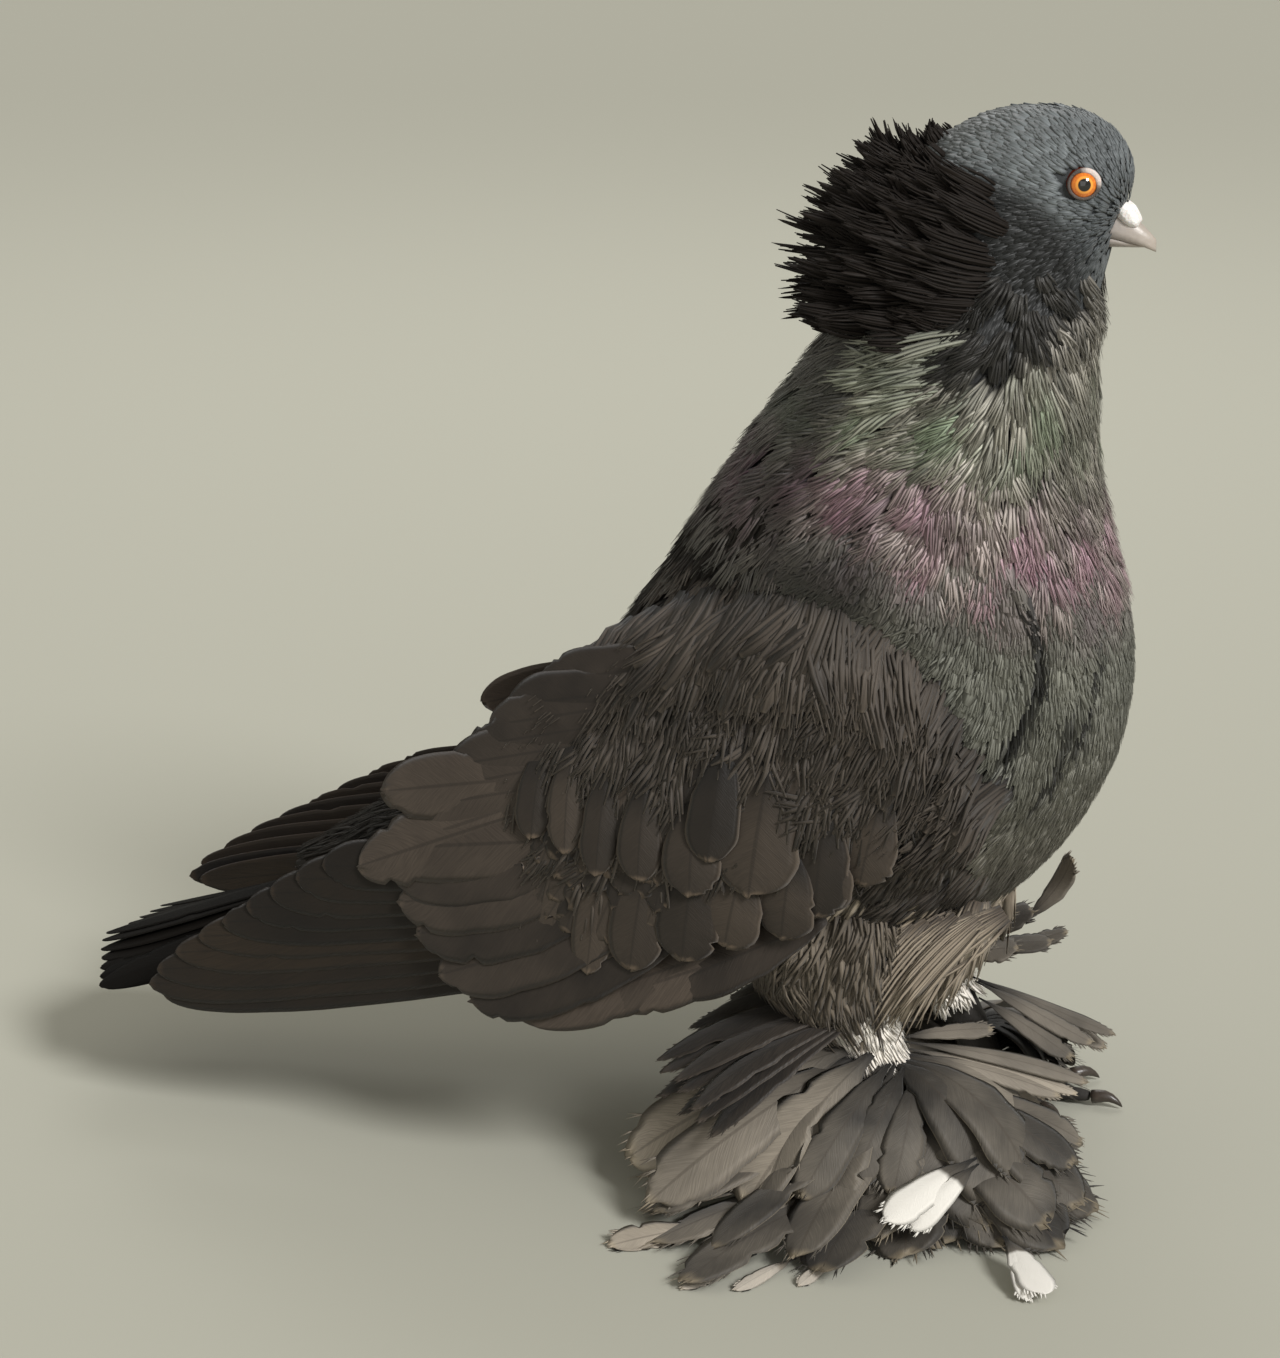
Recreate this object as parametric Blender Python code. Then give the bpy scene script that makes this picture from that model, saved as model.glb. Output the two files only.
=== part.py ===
"""Life-size standing model of a dark, hooded, feather-footed giant utility pigeon.

The bird faces +X, its left side is +Y and +Z is up. The floor is at Z = 0.
Sizes below are millimetres; every mesh is scaled to metres when it is made.
"""

import math
import random

import bmesh
import bpy
import numpy as np
from mathutils import Matrix, Vector

MM = 0.001
GAP = 0.3  # clearance between touching nodes
RING = 24  # points round the trunk
VANE_THICK = 0.6
LAYER = 1.0  # from one feather to the next that lies over it

# The trunk from the crown to the tail root. Each section is a flattened oval across the bird, given by
# its front end (x, z), its back end (x, z) and its half width.
TRUNK = [
    (18.0, 329.0, 9.0, 329.5, 2.5),
    (26.0, 326.3, -1.0, 328.3, 7.0),
    (33.2, 320.5, -12.0, 324.0, 11.4),
    (37.0, 312.0, -21.0, 318.5, 14.8),
    (36.2, 303.0, -27.0, 311.5, 16.8),
    (33.0, 294.0, -31.0, 303.0, 18.6),
    (30.3, 283.5, -34.0, 294.0, 21.5),
    (27.5, 271.0, -38.0, 283.0, 26.0),
    (27.0, 257.5, -47.0, 267.5, 33.0),
    (27.0, 243.0, -60.0, 250.0, 40.0),
    (28.0, 222.0, -73.0, 232.0, 47.0),
    (33.0, 200.0, -85.5, 213.0, 54.0),
    (39.0, 178.0, -98.0, 192.0, 60.0),
    (41.0, 155.0, -112.0, 171.0, 65.0),
    (36.0, 130.0, -127.0, 152.0, 67.5),
    (21.0, 104.0, -142.0, 138.0, 67.0),
    (-4.0, 81.0, -156.0, 126.0, 63.0),
    (-36.0, 66.0, -170.0, 116.0, 56.0),
    (-74.0, 57.0, -184.0, 107.0, 47.0),
    (-112.0, 52.0, -198.0, 98.0, 37.0),
    (-146.0, 48.0, -212.0, 89.0, 28.0),
    (-174.0, 45.0, -226.0, 80.0, 20.0),
]
OVAL = 2.25  # 2 is an ellipse, more is squarer
HEAD_END, NECK_END, TORSO_END, RUMP_END = 7.0, 11.3, 18.4, 21.0  # places along the trunk where it is parted

# The plane on which each folded wing lies against the flank.
WING_OUT, WING_TAPER, WING_LEAN = 62.0, 0.163, 0.22
WING_X, WING_Z = -15.0, 140.0  # the wing's own origin, at the bend of the wing
WING_SLOPE = math.atan2(0.359, 0.933)  # how far the folded wing points down behind

# The folded arm: distance behind the bend, lower edge, upper edge, thickness.
ARM = [
    (-13.0, -2.0, 16.0, 5.0),
    (-4.0, -14.0, 32.0, 12.0),
    (14.0, -24.0, 46.0, 17.0),
    (40.0, -32.0, 54.0, 19.0),
    (68.0, -38.0, 57.0, 18.5),
    (96.0, -39.0, 55.0, 15.5),
    (122.0, -35.0, 50.0, 11.5),
    (146.0, -24.0, 42.0, 7.0),
]
ARM_PLACES = (-13.0, -9.0, -3.0, 8.0, 24.0, 44.0, 68.0, 92.0, 114.0, 132.0, 146.0)

EYE_X, EYE_Y, EYE_Z, EYE_R = 23.2, 10.6, 308.4, 5.4


def clear_scene():
    for obj in list(bpy.data.objects):
        bpy.data.objects.remove(obj)


def material(name, colour, roughness):
    made = bpy.data.materials.new(name)
    made.use_nodes = True
    shader = made.node_tree.nodes["Principled BSDF"]
    shader.inputs["Base Color"].default_value = (*colour, 1.0)
    shader.inputs["Roughness"].default_value = roughness
    made.diffuse_color = (*colour, 1.0)
    return made


def smooth(table, at):
    """Catmull-Rom value of a table of rows at a fractional row number."""
    rows = np.array(table, float)
    last = len(rows) - 1
    i = min(int(max(at, 0.0)), last - 1)
    t = at - i
    p0, p1, p2, p3 = rows[max(i - 1, 0)], rows[i], rows[i + 1], rows[min(i + 2, last)]
    return 0.5 * (
        2 * p1 + (p2 - p0) * t + (2 * p0 - 5 * p1 + 4 * p2 - p3) * t * t + (3 * p1 - p0 - 3 * p2 + p3) * t**3
    )


def along(table, value):
    """Row of a table, read smoothly, whose first column has this value."""
    rows = np.array(table, float)
    return smooth(table, float(np.interp(value, rows[:, 0], range(len(rows)))))


def unit(vector):
    vector = np.array(vector, float)
    return vector / np.linalg.norm(vector)


def mesh_object(name, points, faces, look):
    """A mesh object from points in millimetres, its faces turned to point outwards."""
    mesh = bpy.data.meshes.new(name)
    mesh.from_pydata([tuple(float(c) * MM for c in p) for p in points], [], faces)
    work = bmesh.new()
    work.from_mesh(mesh)
    bmesh.ops.recalc_face_normals(work, faces=work.faces)
    work.to_mesh(mesh)
    work.free()
    mesh.materials.append(look)
    obj = bpy.data.objects.new(name, mesh)
    bpy.context.scene.collection.objects.link(obj)
    return obj


def loft(name, rings, look, alike=False):
    """A closed loft through rings of equal count. With alike, opposite faces of a thin vane split the same way."""
    count = len(rings[0])
    points = [p for ring in rings for p in ring]
    faces = [list(range(count))[::-1], [len(points) - count + k for k in range(count)]]
    for r in range(len(rings) - 1):
        for k in range(count):
            a, b = r * count + k, r * count + (k + 1) % count
            c, d = b + count, a + count
            if not alike:
                faces.append([a, b, c, d])
            elif k < count // 2:
                faces += [[a, b, c], [a, c, d]]
            else:
                faces += [[a, b, d], [b, c, d]]
    return mesh_object(name, points, faces, look)


def boolean(target, tools, operation, solver="EXACT"):
    """Joins, cuts or meets the target with every tool in one Boolean, applied, and removes the tools."""
    group = bpy.data.collections.new("tools")
    bpy.context.scene.collection.children.link(group)
    for tool in tools:
        for holder in list(tool.users_collection):
            holder.objects.unlink(tool)
        group.objects.link(tool)
    modifier = target.modifiers.new("tools", "BOOLEAN")
    modifier.operand_type = "COLLECTION"
    modifier.collection = group
    modifier.operation = operation
    modifier.solver = solver
    bpy.context.view_layer.objects.active = target
    bpy.ops.object.modifier_apply(modifier=modifier.name)
    for tool in tools:
        bpy.data.objects.remove(tool)
    bpy.data.collections.remove(group)


def keep_largest(obj):
    """Leaves only the closed surface with the largest volume."""
    work = bmesh.new()
    work.from_mesh(obj.data)
    bmesh.ops.triangulate(work, faces=work.faces)
    work.faces.ensure_lookup_table()
    seen, shells = set(), []
    for face in work.faces:
        if face.index in seen:
            continue
        shell, stack = [], [face]
        seen.add(face.index)
        while stack:
            here = stack.pop()
            shell.append(here)
            for edge in here.edges:
                for other in edge.link_faces:
                    if other.index not in seen:
                        seen.add(other.index)
                        stack.append(other)
        volume = sum(f.verts[0].co.dot(f.verts[1].co.cross(f.verts[2].co)) for f in shell)
        shells.append((volume, shell))
    shells.sort(key=lambda entry: -entry[0])
    spare = [f for _, shell in shells[1:] for f in shell]
    bmesh.ops.delete(work, geom=spare, context="FACES")
    work.to_mesh(obj.data)
    work.free()


def cut(obj, point, normal):
    """Removes what lies beyond a plane, on its normal's side, and closes the cut with a flat face."""
    work = bmesh.new()
    work.from_mesh(obj.data)
    found = bmesh.ops.bisect_plane(
        work,
        geom=work.verts[:] + work.edges[:] + work.faces[:],
        plane_co=Vector(point) * MM,
        plane_no=Vector(normal),
        clear_outer=True,
    )
    edges = [item for item in found["geom_cut"] if isinstance(item, bmesh.types.BMEdge)]
    bmesh.ops.edgeloop_fill(work, edges=edges)
    bmesh.ops.recalc_face_normals(work, faces=work.faces)
    work.to_mesh(obj.data)
    work.free()


def ball(name, centre, radii, look, turn=0.0, segments=16):
    """An ellipsoid, pitched nose down by turn degrees."""
    mesh = bpy.data.meshes.new(name)
    work = bmesh.new()
    bmesh.ops.create_uvsphere(work, u_segments=segments, v_segments=segments // 2, radius=MM)
    work.to_mesh(mesh)
    work.free()
    pitch = Matrix.Rotation(math.radians(turn), 4, "Y")
    mesh.transform(Matrix.Translation(Vector(centre) * MM) @ pitch @ Matrix.Diagonal((*radii, 1.0)))
    mesh.materials.append(look)
    obj = bpy.data.objects.new(name, mesh)
    bpy.context.scene.collection.objects.link(obj)
    return obj


# Trunk: head, neck, torso and rump


def trunk_ring(at, grow=0.0, slide=0.0):
    """The section at a place along the trunk, grown outwards, and slid along its own normal towards the tail."""
    front_x, front_z, back_x, back_z, half_width = smooth(TRUNK, at)
    front, back = np.array([front_x, 0.0, front_z]), np.array([back_x, 0.0, back_z])
    centre, ahead = (front + back) / 2, unit(front - back)
    down = np.array([ahead[2], 0.0, -ahead[0]])
    centre = centre + down * slide
    half_depth = np.linalg.norm(front - back) / 2 + grow
    ring = []
    for k in range(RING):
        c, s = math.cos(math.tau * k / RING), math.sin(math.tau * k / RING)
        c, s = (math.copysign(abs(value) ** (2 / OVAL), value) for value in (c, s))
        ring.append(centre + ahead * c * half_depth + np.array([0.0, s * (half_width + grow), 0.0]))
    return ring


def trunk_piece(name, start, end, look, steps, grow=0.0, slide=0.0):
    """The trunk between two places. Its first ring is slid on by slide, to leave the gap to the piece before."""
    places = np.linspace(start, end, steps)
    rings = [trunk_ring(at, grow, slide if n == 0 else 0.0) for n, at in enumerate(places)]
    return loft(name, rings, look)


def surface_point(at, angle):
    """A point of the trunk's surface and its outward normal; angle 0 is the front, 90 the left, 180 the back."""

    def point(place, degrees):
        front_x, front_z, back_x, back_z, half_width = smooth(TRUNK, place)
        front, back = np.array([front_x, 0.0, front_z]), np.array([back_x, 0.0, back_z])
        c, s = math.cos(math.radians(degrees)), math.sin(math.radians(degrees))
        c, s = (math.copysign(abs(value) ** (2 / OVAL), value) for value in (c, s))
        return (front + back) / 2 + (front - back) / 2 * c + np.array([0.0, half_width * s, 0.0])

    here = point(at, angle)
    normal = unit(np.cross(point(at, angle + 3) - here, point(at + 0.1, angle) - here))
    return here, normal if normal @ (here - point(at, 0) / 2 - point(at, 180) / 2) > 0 else -normal


# Feathers

VANE_SHAPE = [(0.0, 0.18), (0.2, 0.4), (0.5, 1.0), (0.84, 0.86), (1.0, 0.3)]


def vane(root, tip, face, width, lift=0.0, bend=0.0, tilt=0.0, thick=VANE_THICK, shape=None, floor=None):
    """One feather as a thin closed blade from root to tip, with its outer face towards face.

    lift bows it towards face, bend curves it sideways, tilt turns it about its shaft as slates lie, and
    floor is a level that it doesn't go below.
    """
    root, tip, face = np.array(root, float), np.array(tip, float), np.array(face, float)
    line = unit(tip - root)
    out = unit(face - line * (face @ line))
    side = np.cross(line, out)
    out, side = out * math.cos(tilt) - side * math.sin(tilt), side * math.cos(tilt) + out * math.sin(tilt)
    rings = []
    for t, share in shape or VANE_SHAPE:
        arch = 4 * t * (1 - t)
        centre = root + (tip - root) * t + out * lift * arch + side * bend * t * t
        across, up = side * width / 2 * share, out * thick / 2
        ring = [centre - across + up, centre + across + up, centre + across - up, centre - across - up]
        if floor is not None:
            rise = max(0.0, floor - min(p[2] for p in ring))
            ring = [p + np.array([0.0, 0.0, rise]) for p in ring]
        rings.append(ring)
    return loft("vane", rings, looks["feather"], alike=True)


def fuse(core, vanes):
    """Joins feathers to the node that they grow from."""
    boolean(core, vanes, "UNION")
    keep_largest(core)


# Wings


def wing_axes(side):
    """Backward, upward and outward directions of a folded wing's plane, and its origin."""
    drop = math.tan(WING_SLOPE)

    def on_plane(x, z):
        out = WING_OUT - WING_TAPER * (WING_X - x) - WING_LEAN * (z - WING_Z)
        return np.array([x, side * out, z])

    origin = on_plane(WING_X, WING_Z)
    backward = unit(on_plane(WING_X - 1, WING_Z - drop) - origin)
    other = on_plane(WING_X, WING_Z + 1) - origin
    outward = unit(np.cross(other, backward)) * 1.0
    if outward[1] * side < 0:
        outward = -outward
    upward = unit(other - backward * (other @ backward))
    return origin, backward, upward, outward


def wing_point(side, back, up, out):
    origin, backward, upward, outward = wing_axes(side)
    return origin + backward * back + upward * up + outward * out


def arm_core(name, side, look):
    """The folded arm: flat against the body, domed outside."""
    rings = []
    for back in ARM_PLACES:
        _, low, high, thick = along(ARM, back)
        middle, half = (low + high) / 2, (high - low) / 2
        flat = [wing_point(side, back, middle + half * share, 0.0) for share in (-0.5, 0.0, 0.5)]
        dome = []
        for k in range(9):
            angle = math.pi * k / 8
            rise = max(0.0, math.sin(angle)) ** 0.8
            dome.append(wing_point(side, back, middle + half * math.cos(angle), 0.4 + (thick - 0.4) * rise))
        rings.append(flat + dome)
    return loft(name, rings, look)


# Tips of the quills, lowest first, as distance behind the bend of the wing and height over its line
PRIMARY_TIPS = [(261, -5), (266, 0), (256, 5), (243, 9), (230, 12), (217, 15), (204, 18), (190, 20)]
SECONDARY_TIPS = [(150, -29), (154, -21), (160, -12), (169, -3), (183, 6), (187, 15), (181, 24), (170, 34), (155, 43)]


def wing_vanes(side, push, rise):
    """The quills and the two tiers of coverts of one folded wing, its tip moved back and up by push and rise."""
    outward = wing_axes(side)[3]
    made = []

    def add(root, tip, width, lift, tilt, bend=0.0):
        made.append(
            vane(
                wing_point(side, *root), wing_point(side, *tip), outward, width,
                lift=lift, bend=-side * bend, tilt=side * tilt,
            )
        )

    for k, (back, up) in enumerate(PRIMARY_TIPS):  # the outermost is lowest and against the body
        share = k / 7
        tip = (back + push * (1 - 0.5 * share), up + rise * (1 - 0.75 * share), 1.2 + LAYER * k)
        add((112 + 8 * share, -27 + 32 * share, 1.2 + LAYER * k), tip, 15, 0.0, 0.0, 2.0)
    for k, (back, up) in enumerate(SECONDARY_TIPS):  # each over the one below it
        share = k / 8
        add((86 - 12 * share, -30 + 74 * share, 9.0), (back, up, 10.3), 18, 1.0, 0.11, -2.0)
    for k in range(8):  # greater coverts
        share = k / 7
        back = 112 + 14 * math.sin(math.pi * share)
        add((56 - 8 * share, -28 + 74 * share, 12.6), (back, -36 + 82 * share, 13.6), 19, 2.2, 0.1)
    for k in range(8):  # median coverts
        share = k / 7
        back = 78 + 10 * math.sin(math.pi * share)
        add((22 - 6 * share, -22 + 66 * share, 14.5), (back, -36 + 84 * share, 17.5), 19, 2.8, 0.1)
    return made


def make_wing(name, side, push, rise):
    core = arm_core(name, side, looks["plumage"])
    fuse(core, wing_vanes(side, push, rise))
    return core


def make_room_for_wings(obj):
    """Sinks a bed for each folded wing into a node of the body, a little larger than the arm that lies in it."""
    for side in (-1, 1):
        rows = [along(ARM, back) for back in ARM_PLACES]
        outline = [(back, low - 2.0 - back / 30) for back, (_, low, _, _) in zip(ARM_PLACES, rows)]
        outline += [(200.0, -45.0), (200.0, 60.0)]
        outline += [(back, high + 2.0 + back / 15) for back, (_, _, high, _) in zip(ARM_PLACES[::-1], rows[::-1])]
        outline = [(back - 2.0 if back < -12 else back, up) for back, up in outline]
        rings = [[wing_point(side, back, up, out) for back, up in outline] for out in (-GAP, 40.0)]
        boolean(obj, [loft("bed", rings, looks["plumage"])], "DIFFERENCE")
    keep_largest(obj)


# Head


def beak_half(name, upper, look, grow=0.0):
    """Upper or lower mandible. The two meet on the line of the mouth with a gap."""
    base_x, tip_x = (27.0, 44.0) if upper else (27.8, 41.0)
    rings = []
    for t in (0.0, 0.25, 0.5, 0.7, 0.86, 0.96, 1.0):
        x = base_x - grow + (tip_x - base_x + 2 * grow) * t
        mouth = 292.6 - 0.2 * (x - 27) - 1.6 * ((x - 27) / 17) ** 4
        if upper:
            edge, far = mouth + GAP / 2 - grow, 301.6 - 2.6 * t - 7.6 * t**2.4 + grow
        else:
            edge, far = mouth - GAP / 2 + grow, 288.4 + 0.4 * t - grow
        half = 4.5 * (1 - t**2.2) ** 0.7 + 0.5 + grow
        ring = []
        for k in range(9):
            angle = math.pi * k / 8
            ring.append((x, half * math.cos(angle), edge + (far - edge) * math.sin(angle) ** 0.8))
        rings.append(ring)
    return loft(name, rings, look)


def wattle(name, look, grow=0.0):
    """The two soft white lobes over the nostrils."""
    lobes = [
        ball(name, (35.6, side * 2.5, 299.4), (4.9 + grow, 3.2 + grow, 3.3 + grow), look, turn=42)
        for side in (1, -1)
    ]
    boolean(lobes[0], lobes[1:], "UNION", "MANIFOLD")
    return lobes[0]


def hood_zone(grow=0.0):
    """The block behind the ears from which the hood is cut: the back of the head and upper neck."""
    outline = [(-15.0, 321.0), (2.0, 270.0), (-5.0, 240.0), (-80.0, 230.0), (-80.0, 321.0)]
    middle = np.mean(outline, axis=0)
    corners = [np.array(p) + grow * 1.5 * unit(np.array(p) - middle) for p in outline]
    rings = [[(x, y, z) for x, z in corners] for y in (-60.0, 60.0)]
    return loft("hood_zone", rings, looks["plumage"])


def make_head():
    head = trunk_piece("head", 0.0, HEAD_END, looks["head"], 11)
    ring = []
    for side in (1, -1):
        bpy.ops.mesh.primitive_torus_add(
            major_segments=16, minor_segments=5, major_radius=4.5 * MM, minor_radius=1.1 * MM
        )
        lid = bpy.context.object
        facing = Vector((0.35, side, 0.1)).to_track_quat("Z", "Y").to_matrix().to_4x4()
        place = Matrix.Translation(Vector((EYE_X + 1.0, side * (EYE_Y + 2.7), EYE_Z + 0.2)) * MM)
        lid.data.transform(place @ facing)
        ring.append(lid)
    boolean(head, ring, "UNION", "MANIFOLD")
    pockets = [beak_half("pocket", upper, looks["beak"], grow=GAP) for upper in (True, False)]
    pockets.append(wattle("pocket", looks["wattle"], grow=GAP))
    pockets += [ball("socket", (EYE_X, side * EYE_Y, EYE_Z), [EYE_R + GAP] * 3, looks["eye"]) for side in (1, -1)]
    pockets.append(hood_zone(grow=GAP))
    boolean(head, pockets, "DIFFERENCE", "MANIFOLD")
    keep_largest(head)
    beak_half("beak_upper", True, looks["beak"])
    beak_half("beak_lower", False, looks["beak"])
    cere = wattle("wattle", looks["wattle"])
    boolean(cere, [beak_half("clear", True, looks["beak"], grow=GAP)], "DIFFERENCE", "MANIFOLD")
    keep_largest(cere)
    for side, name in ((1, "eye_left"), (-1, "eye_right")):
        ball(name, (EYE_X, side * EYE_Y, EYE_Z), [EYE_R] * 3, looks["eye"], segments=16)


# Each tier of the hood: place along the trunk, half spread round the neck, feathers, reach, how steeply it stands
HOOD_TIERS = [
    (3.4, 34.0, 4, 13.0, 56.0),
    (4.2, 52.0, 6, 21.0, 42.0),
    (5.1, 64.0, 8, 27.0, 24.0),
    (6.0, 74.0, 9, 32.0, 12.0),
    (7.0, 80.0, 9, 31.0, 10.0),
    (8.0, 70.0, 7, 21.0, 12.0),
    (8.8, 50.0, 5, 12.0, 4.0),
]


def make_hood():
    """The hood behind the head: a cut of the nape that carries tiers of long, ragged feathers."""
    rng = random.Random(11)
    core = trunk_piece("hood", 2.2, 10.2, looks["hood"], 11)
    boolean(core, [hood_zone()], "INTERSECT")
    keep_largest(core)
    vanes = []
    for place, spread, count, reach, steep in HOOD_TIERS:
        for k in range(count):
            share = 2 * k / (count - 1) - 1
            angle = 180 + spread * share
            point, normal = surface_point(place, angle)
            flat = unit((normal[0], normal[1], 0.0))
            swept = unit(flat + np.array([-1.5 * abs(share), 0.0, 0.0]))
            rise = math.radians(steep + rng.uniform(-5, 5))
            heading = swept * math.cos(rise) + np.array([0.0, 0.0, math.sin(rise)])
            length = reach * (1 - 0.2 * abs(share) ** 1.5) * rng.uniform(0.84, 1.1)
            root = point - normal * 4.0
            tilt = 0.16 * (1 if share > 0 else -1)
            outer = np.cross(np.cross(heading, (0.0, 0.0, 1.0)), heading)
            vanes.append(
                vane(root, root + heading * (length + 4.0), outer, 10.0, lift=-1.2, tilt=tilt)
            )
    fuse(core, vanes)
    return core


# Tail


def make_tail():
    core = trunk_piece("tail", TORSO_END, RUMP_END, looks["plumage"], 7, slide=GAP)
    make_room_for_wings(core)
    vanes = []
    slope = unit((-88.0, 0.0, -38.0))
    top = np.array([-slope[2], 0.0, slope[0]]) * -1
    top = top if top[2] > 0 else -top
    for side in (1, -1):
        for k in range(6):
            level = -LAYER * (k + (1 if k and side > 0 else 0) + (1 if side < 0 else 0))
            root = np.array([-196.0, side * (1.0 + 2.0 * k), 77.0]) + top * level
            length = 107.0 - 1.6 * k
            tip = root + slope * length + np.array([0.0, side * (1.5 + 2.9 * k), 0.0])
            vanes.append(vane(root, tip, top, 15.0, tilt=-side * 0.03))
    fuse(core, vanes)
    return core


# Legs and feet


def tube_rings(centres, radii, count=12):
    """Rings round a path, each square to it."""
    centres = [np.array(c, float) for c in centres]
    rings = []
    for n, centre in enumerate(centres):
        ahead = unit(centres[min(n + 1, len(centres) - 1)] - centres[max(n - 1, 0)])
        side = unit(np.cross(ahead, (0.0, 0.0, 1.0) if abs(ahead[2]) < 0.8 else (1.0, 0.0, 0.0)))
        up = np.cross(side, ahead)
        wide, tall = radii[n] if isinstance(radii[n], tuple) else (radii[n], radii[n])
        rings.append(
            [
                centre + side * wide * math.cos(math.tau * k / count) + up * tall * math.sin(math.tau * k / count)
                for k in range(count)
            ]
        )
    return rings


def thigh_axis(side):
    """Direction from the hip down to the hock."""
    return unit((20.0, side * 8.0, -40.0))


def make_thigh(name, side, hock, stray=()):
    """The feathered thigh under the body, with the stiff feathers behind the hock."""
    hock = np.array(hock)
    axis = thigh_axis(side)
    hip = hock - axis * 45.0
    centres = [hip - axis * 8, hip, hip + axis * 14, hip + axis * 28, hip + axis * 39, hock]
    core = loft(name, tube_rings(centres, [10.0, 20.0, 25.0, 20.0, 13.0, 9.5], 16), looks["plumage"])
    vanes = []
    for k in range(7):
        turn = math.radians(200 - 11 * k)
        out = np.array([math.cos(turn), side * math.sin(turn) * 0.9, -0.38 - 0.05 * (k % 3)])
        root = hock + np.array([-6.0, side * (1.5 * k - 4.0), 15.0 - 1.3 * k])
        tip = root + unit(out) * (74.0 - 4.0 * abs(k - 3))
        vanes.append(vane(root, tip, (-0.3, side * 0.5, 1.0), 14.0, lift=2.0, tilt=side * 0.2, floor=16.0))
    for tip in stray:
        vanes.append(vane(hock + np.array([-2.0, 0.0, 10.0]), tip, (1.0, side * 0.4, 0.2), 10.0, lift=-3.0))
    fuse(core, vanes)
    boolean(core, [trunk_piece("clear", NECK_END, TORSO_END, looks["plumage"], 18, grow=GAP)], "DIFFERENCE")
    keep_largest(core)
    make_room_for_wings(core)
    return core


# The foot's feathers, tier by tier: heading in degrees (0 forward, 90 outward, 180 back), length
MUFF_TIERS = [
    (38.0, 10.0, [(178, 90), (154, 86), (130, 80), (106, 62), (66, 44), (36, 42)]),
    (24.0, 5.0, [(168, 90), (146, 98), (124, 94), (102, 78), (78, 60), (54, 62), (28, 56), (0, 46)]),
    (12.0, 0.0, [(158, 100), (136, 102), (114, 94), (92, 74), (70, 68), (48, 70), (24, 60), (-4, 48), (-32, 38)]),
]
TOES = [("middle", -6.0, 33.0), ("inner", -42.0, 25.0), ("outer", 30.0, 27.0), ("hind", 170.0, 16.0)]


def make_foot(name, side, hock, pad):
    """Shank, toes and the fan of long feathers that covers them; the claws are nodes of their own."""
    hock, pad = np.array(hock, float), np.array(pad, float)
    axis = unit(pad - hock)
    top = hock + thigh_axis(side) * GAP
    shank = [top, top + thigh_axis(side) * 4, top + axis * 17, pad - axis * 12, pad, pad + axis * 4]
    core = loft(name, tube_rings(shank, [9.5, 9.2, 8.5, 7.5, 7.0, 6.0]), looks["foot"])
    pieces, pockets = [], []
    for toe, turn, length in TOES:
        turn = math.radians(turn)
        heading = np.array([math.cos(turn), side * math.sin(turn), 0.0])
        start = np.array([pad[0], pad[1], 0.0])
        heights = (4.6, 3.9, 3.5, 3.1)
        centres = [start + heading * length * t + np.array([0, 0, h]) for t, h in zip((0.0, 0.35, 0.7, 1.0), heights)]
        pieces.append(loft("toe", tube_rings(centres, [5.2, 4.5, 4.0, 3.3], 10), looks["foot"]))
        claw_path = [centres[-1] + heading * d + np.array([0, 0, h]) for d, h in ((GAP, 0.0), (1.6, 0.0), (4.6, 0.8), (8.2, -0.4), (10.5, -2.2))]
        loft(f"claw_{toe}_{name[5:]}", tube_rings(claw_path, [2.3, 2.3, 2.0, 1.2, 0.35], 8), looks["claw"])
        room = [claw_path[0] - heading * GAP, *claw_path[1:-1], claw_path[-1] + heading * 0.5 - np.array([0, 0, 0.5])]
        pockets.append(loft("pocket", tube_rings(room, [2.7, 2.7, 2.4, 1.6, 0.8], 8), looks["claw"]))
    for level, end, feathers in MUFF_TIERS:
        for turn, length in feathers:
            turn = math.radians(turn)
            heading = np.array([math.cos(turn), side * math.sin(turn), 0.0])
            root = pad - axis * (level - pad[2])
            tip = np.array([pad[0], pad[1], 0.0]) + heading * length + np.array([0.0, 0.0, end + VANE_THICK / 2])
            arch = 7.0 if math.cos(turn) > 0.3 else 4.0
            pieces.append(vane(root, tip, (0.0, 0.0, 1.0), 21.0, lift=arch, tilt=side * 0.12, floor=0.0))
    fuse(core, pieces)
    boolean(core, pockets, "DIFFERENCE")
    cut(core, (0.0, 0.0, 0.0), (0.0, 0.0, -1.0))
    keep_largest(core)
    return core


def stand_on_origin():
    """Puts the origin on the floor under the middle of the whole bird's outline."""
    points = [obj.matrix_world @ v.co for obj in bpy.data.objects for v in obj.data.vertices]
    middle = [(min(p[i] for p in points) + max(p[i] for p in points)) / 2 for i in (0, 1)]
    for obj in bpy.data.objects:
        obj.data.transform(Matrix.Translation((-middle[0], -middle[1], 0.0)))


def make_bird():
    make_head()
    make_hood()
    neck = trunk_piece("neck", HEAD_END, NECK_END, looks["neck"], 8, slide=GAP)
    boolean(neck, [hood_zone(grow=GAP)], "DIFFERENCE")
    keep_largest(neck)
    torso = trunk_piece("torso", NECK_END, TORSO_END, looks["plumage"], 18, slide=GAP)
    make_room_for_wings(torso)
    make_tail()
    make_wing("wing_right", -1, 0.0, 0.0)
    make_wing("wing_left", 1, 17.0, 15.0)
    make_thigh("thigh_right", -1, (-28.0, -42.0, 52.0))
    make_thigh("thigh_left", 1, (-26.0, 44.0, 52.0), stray=[(17.0, 50.0, 80.0), (16.0, 53.0, 57.0)])
    make_foot("foot_right", -1, (-28.0, -42.0, 52.0), (-7.0, -43.0, 6.0))
    make_foot("foot_left", 1, (-26.0, 44.0, 52.0), (-5.0, 49.0, 6.0))


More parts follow.
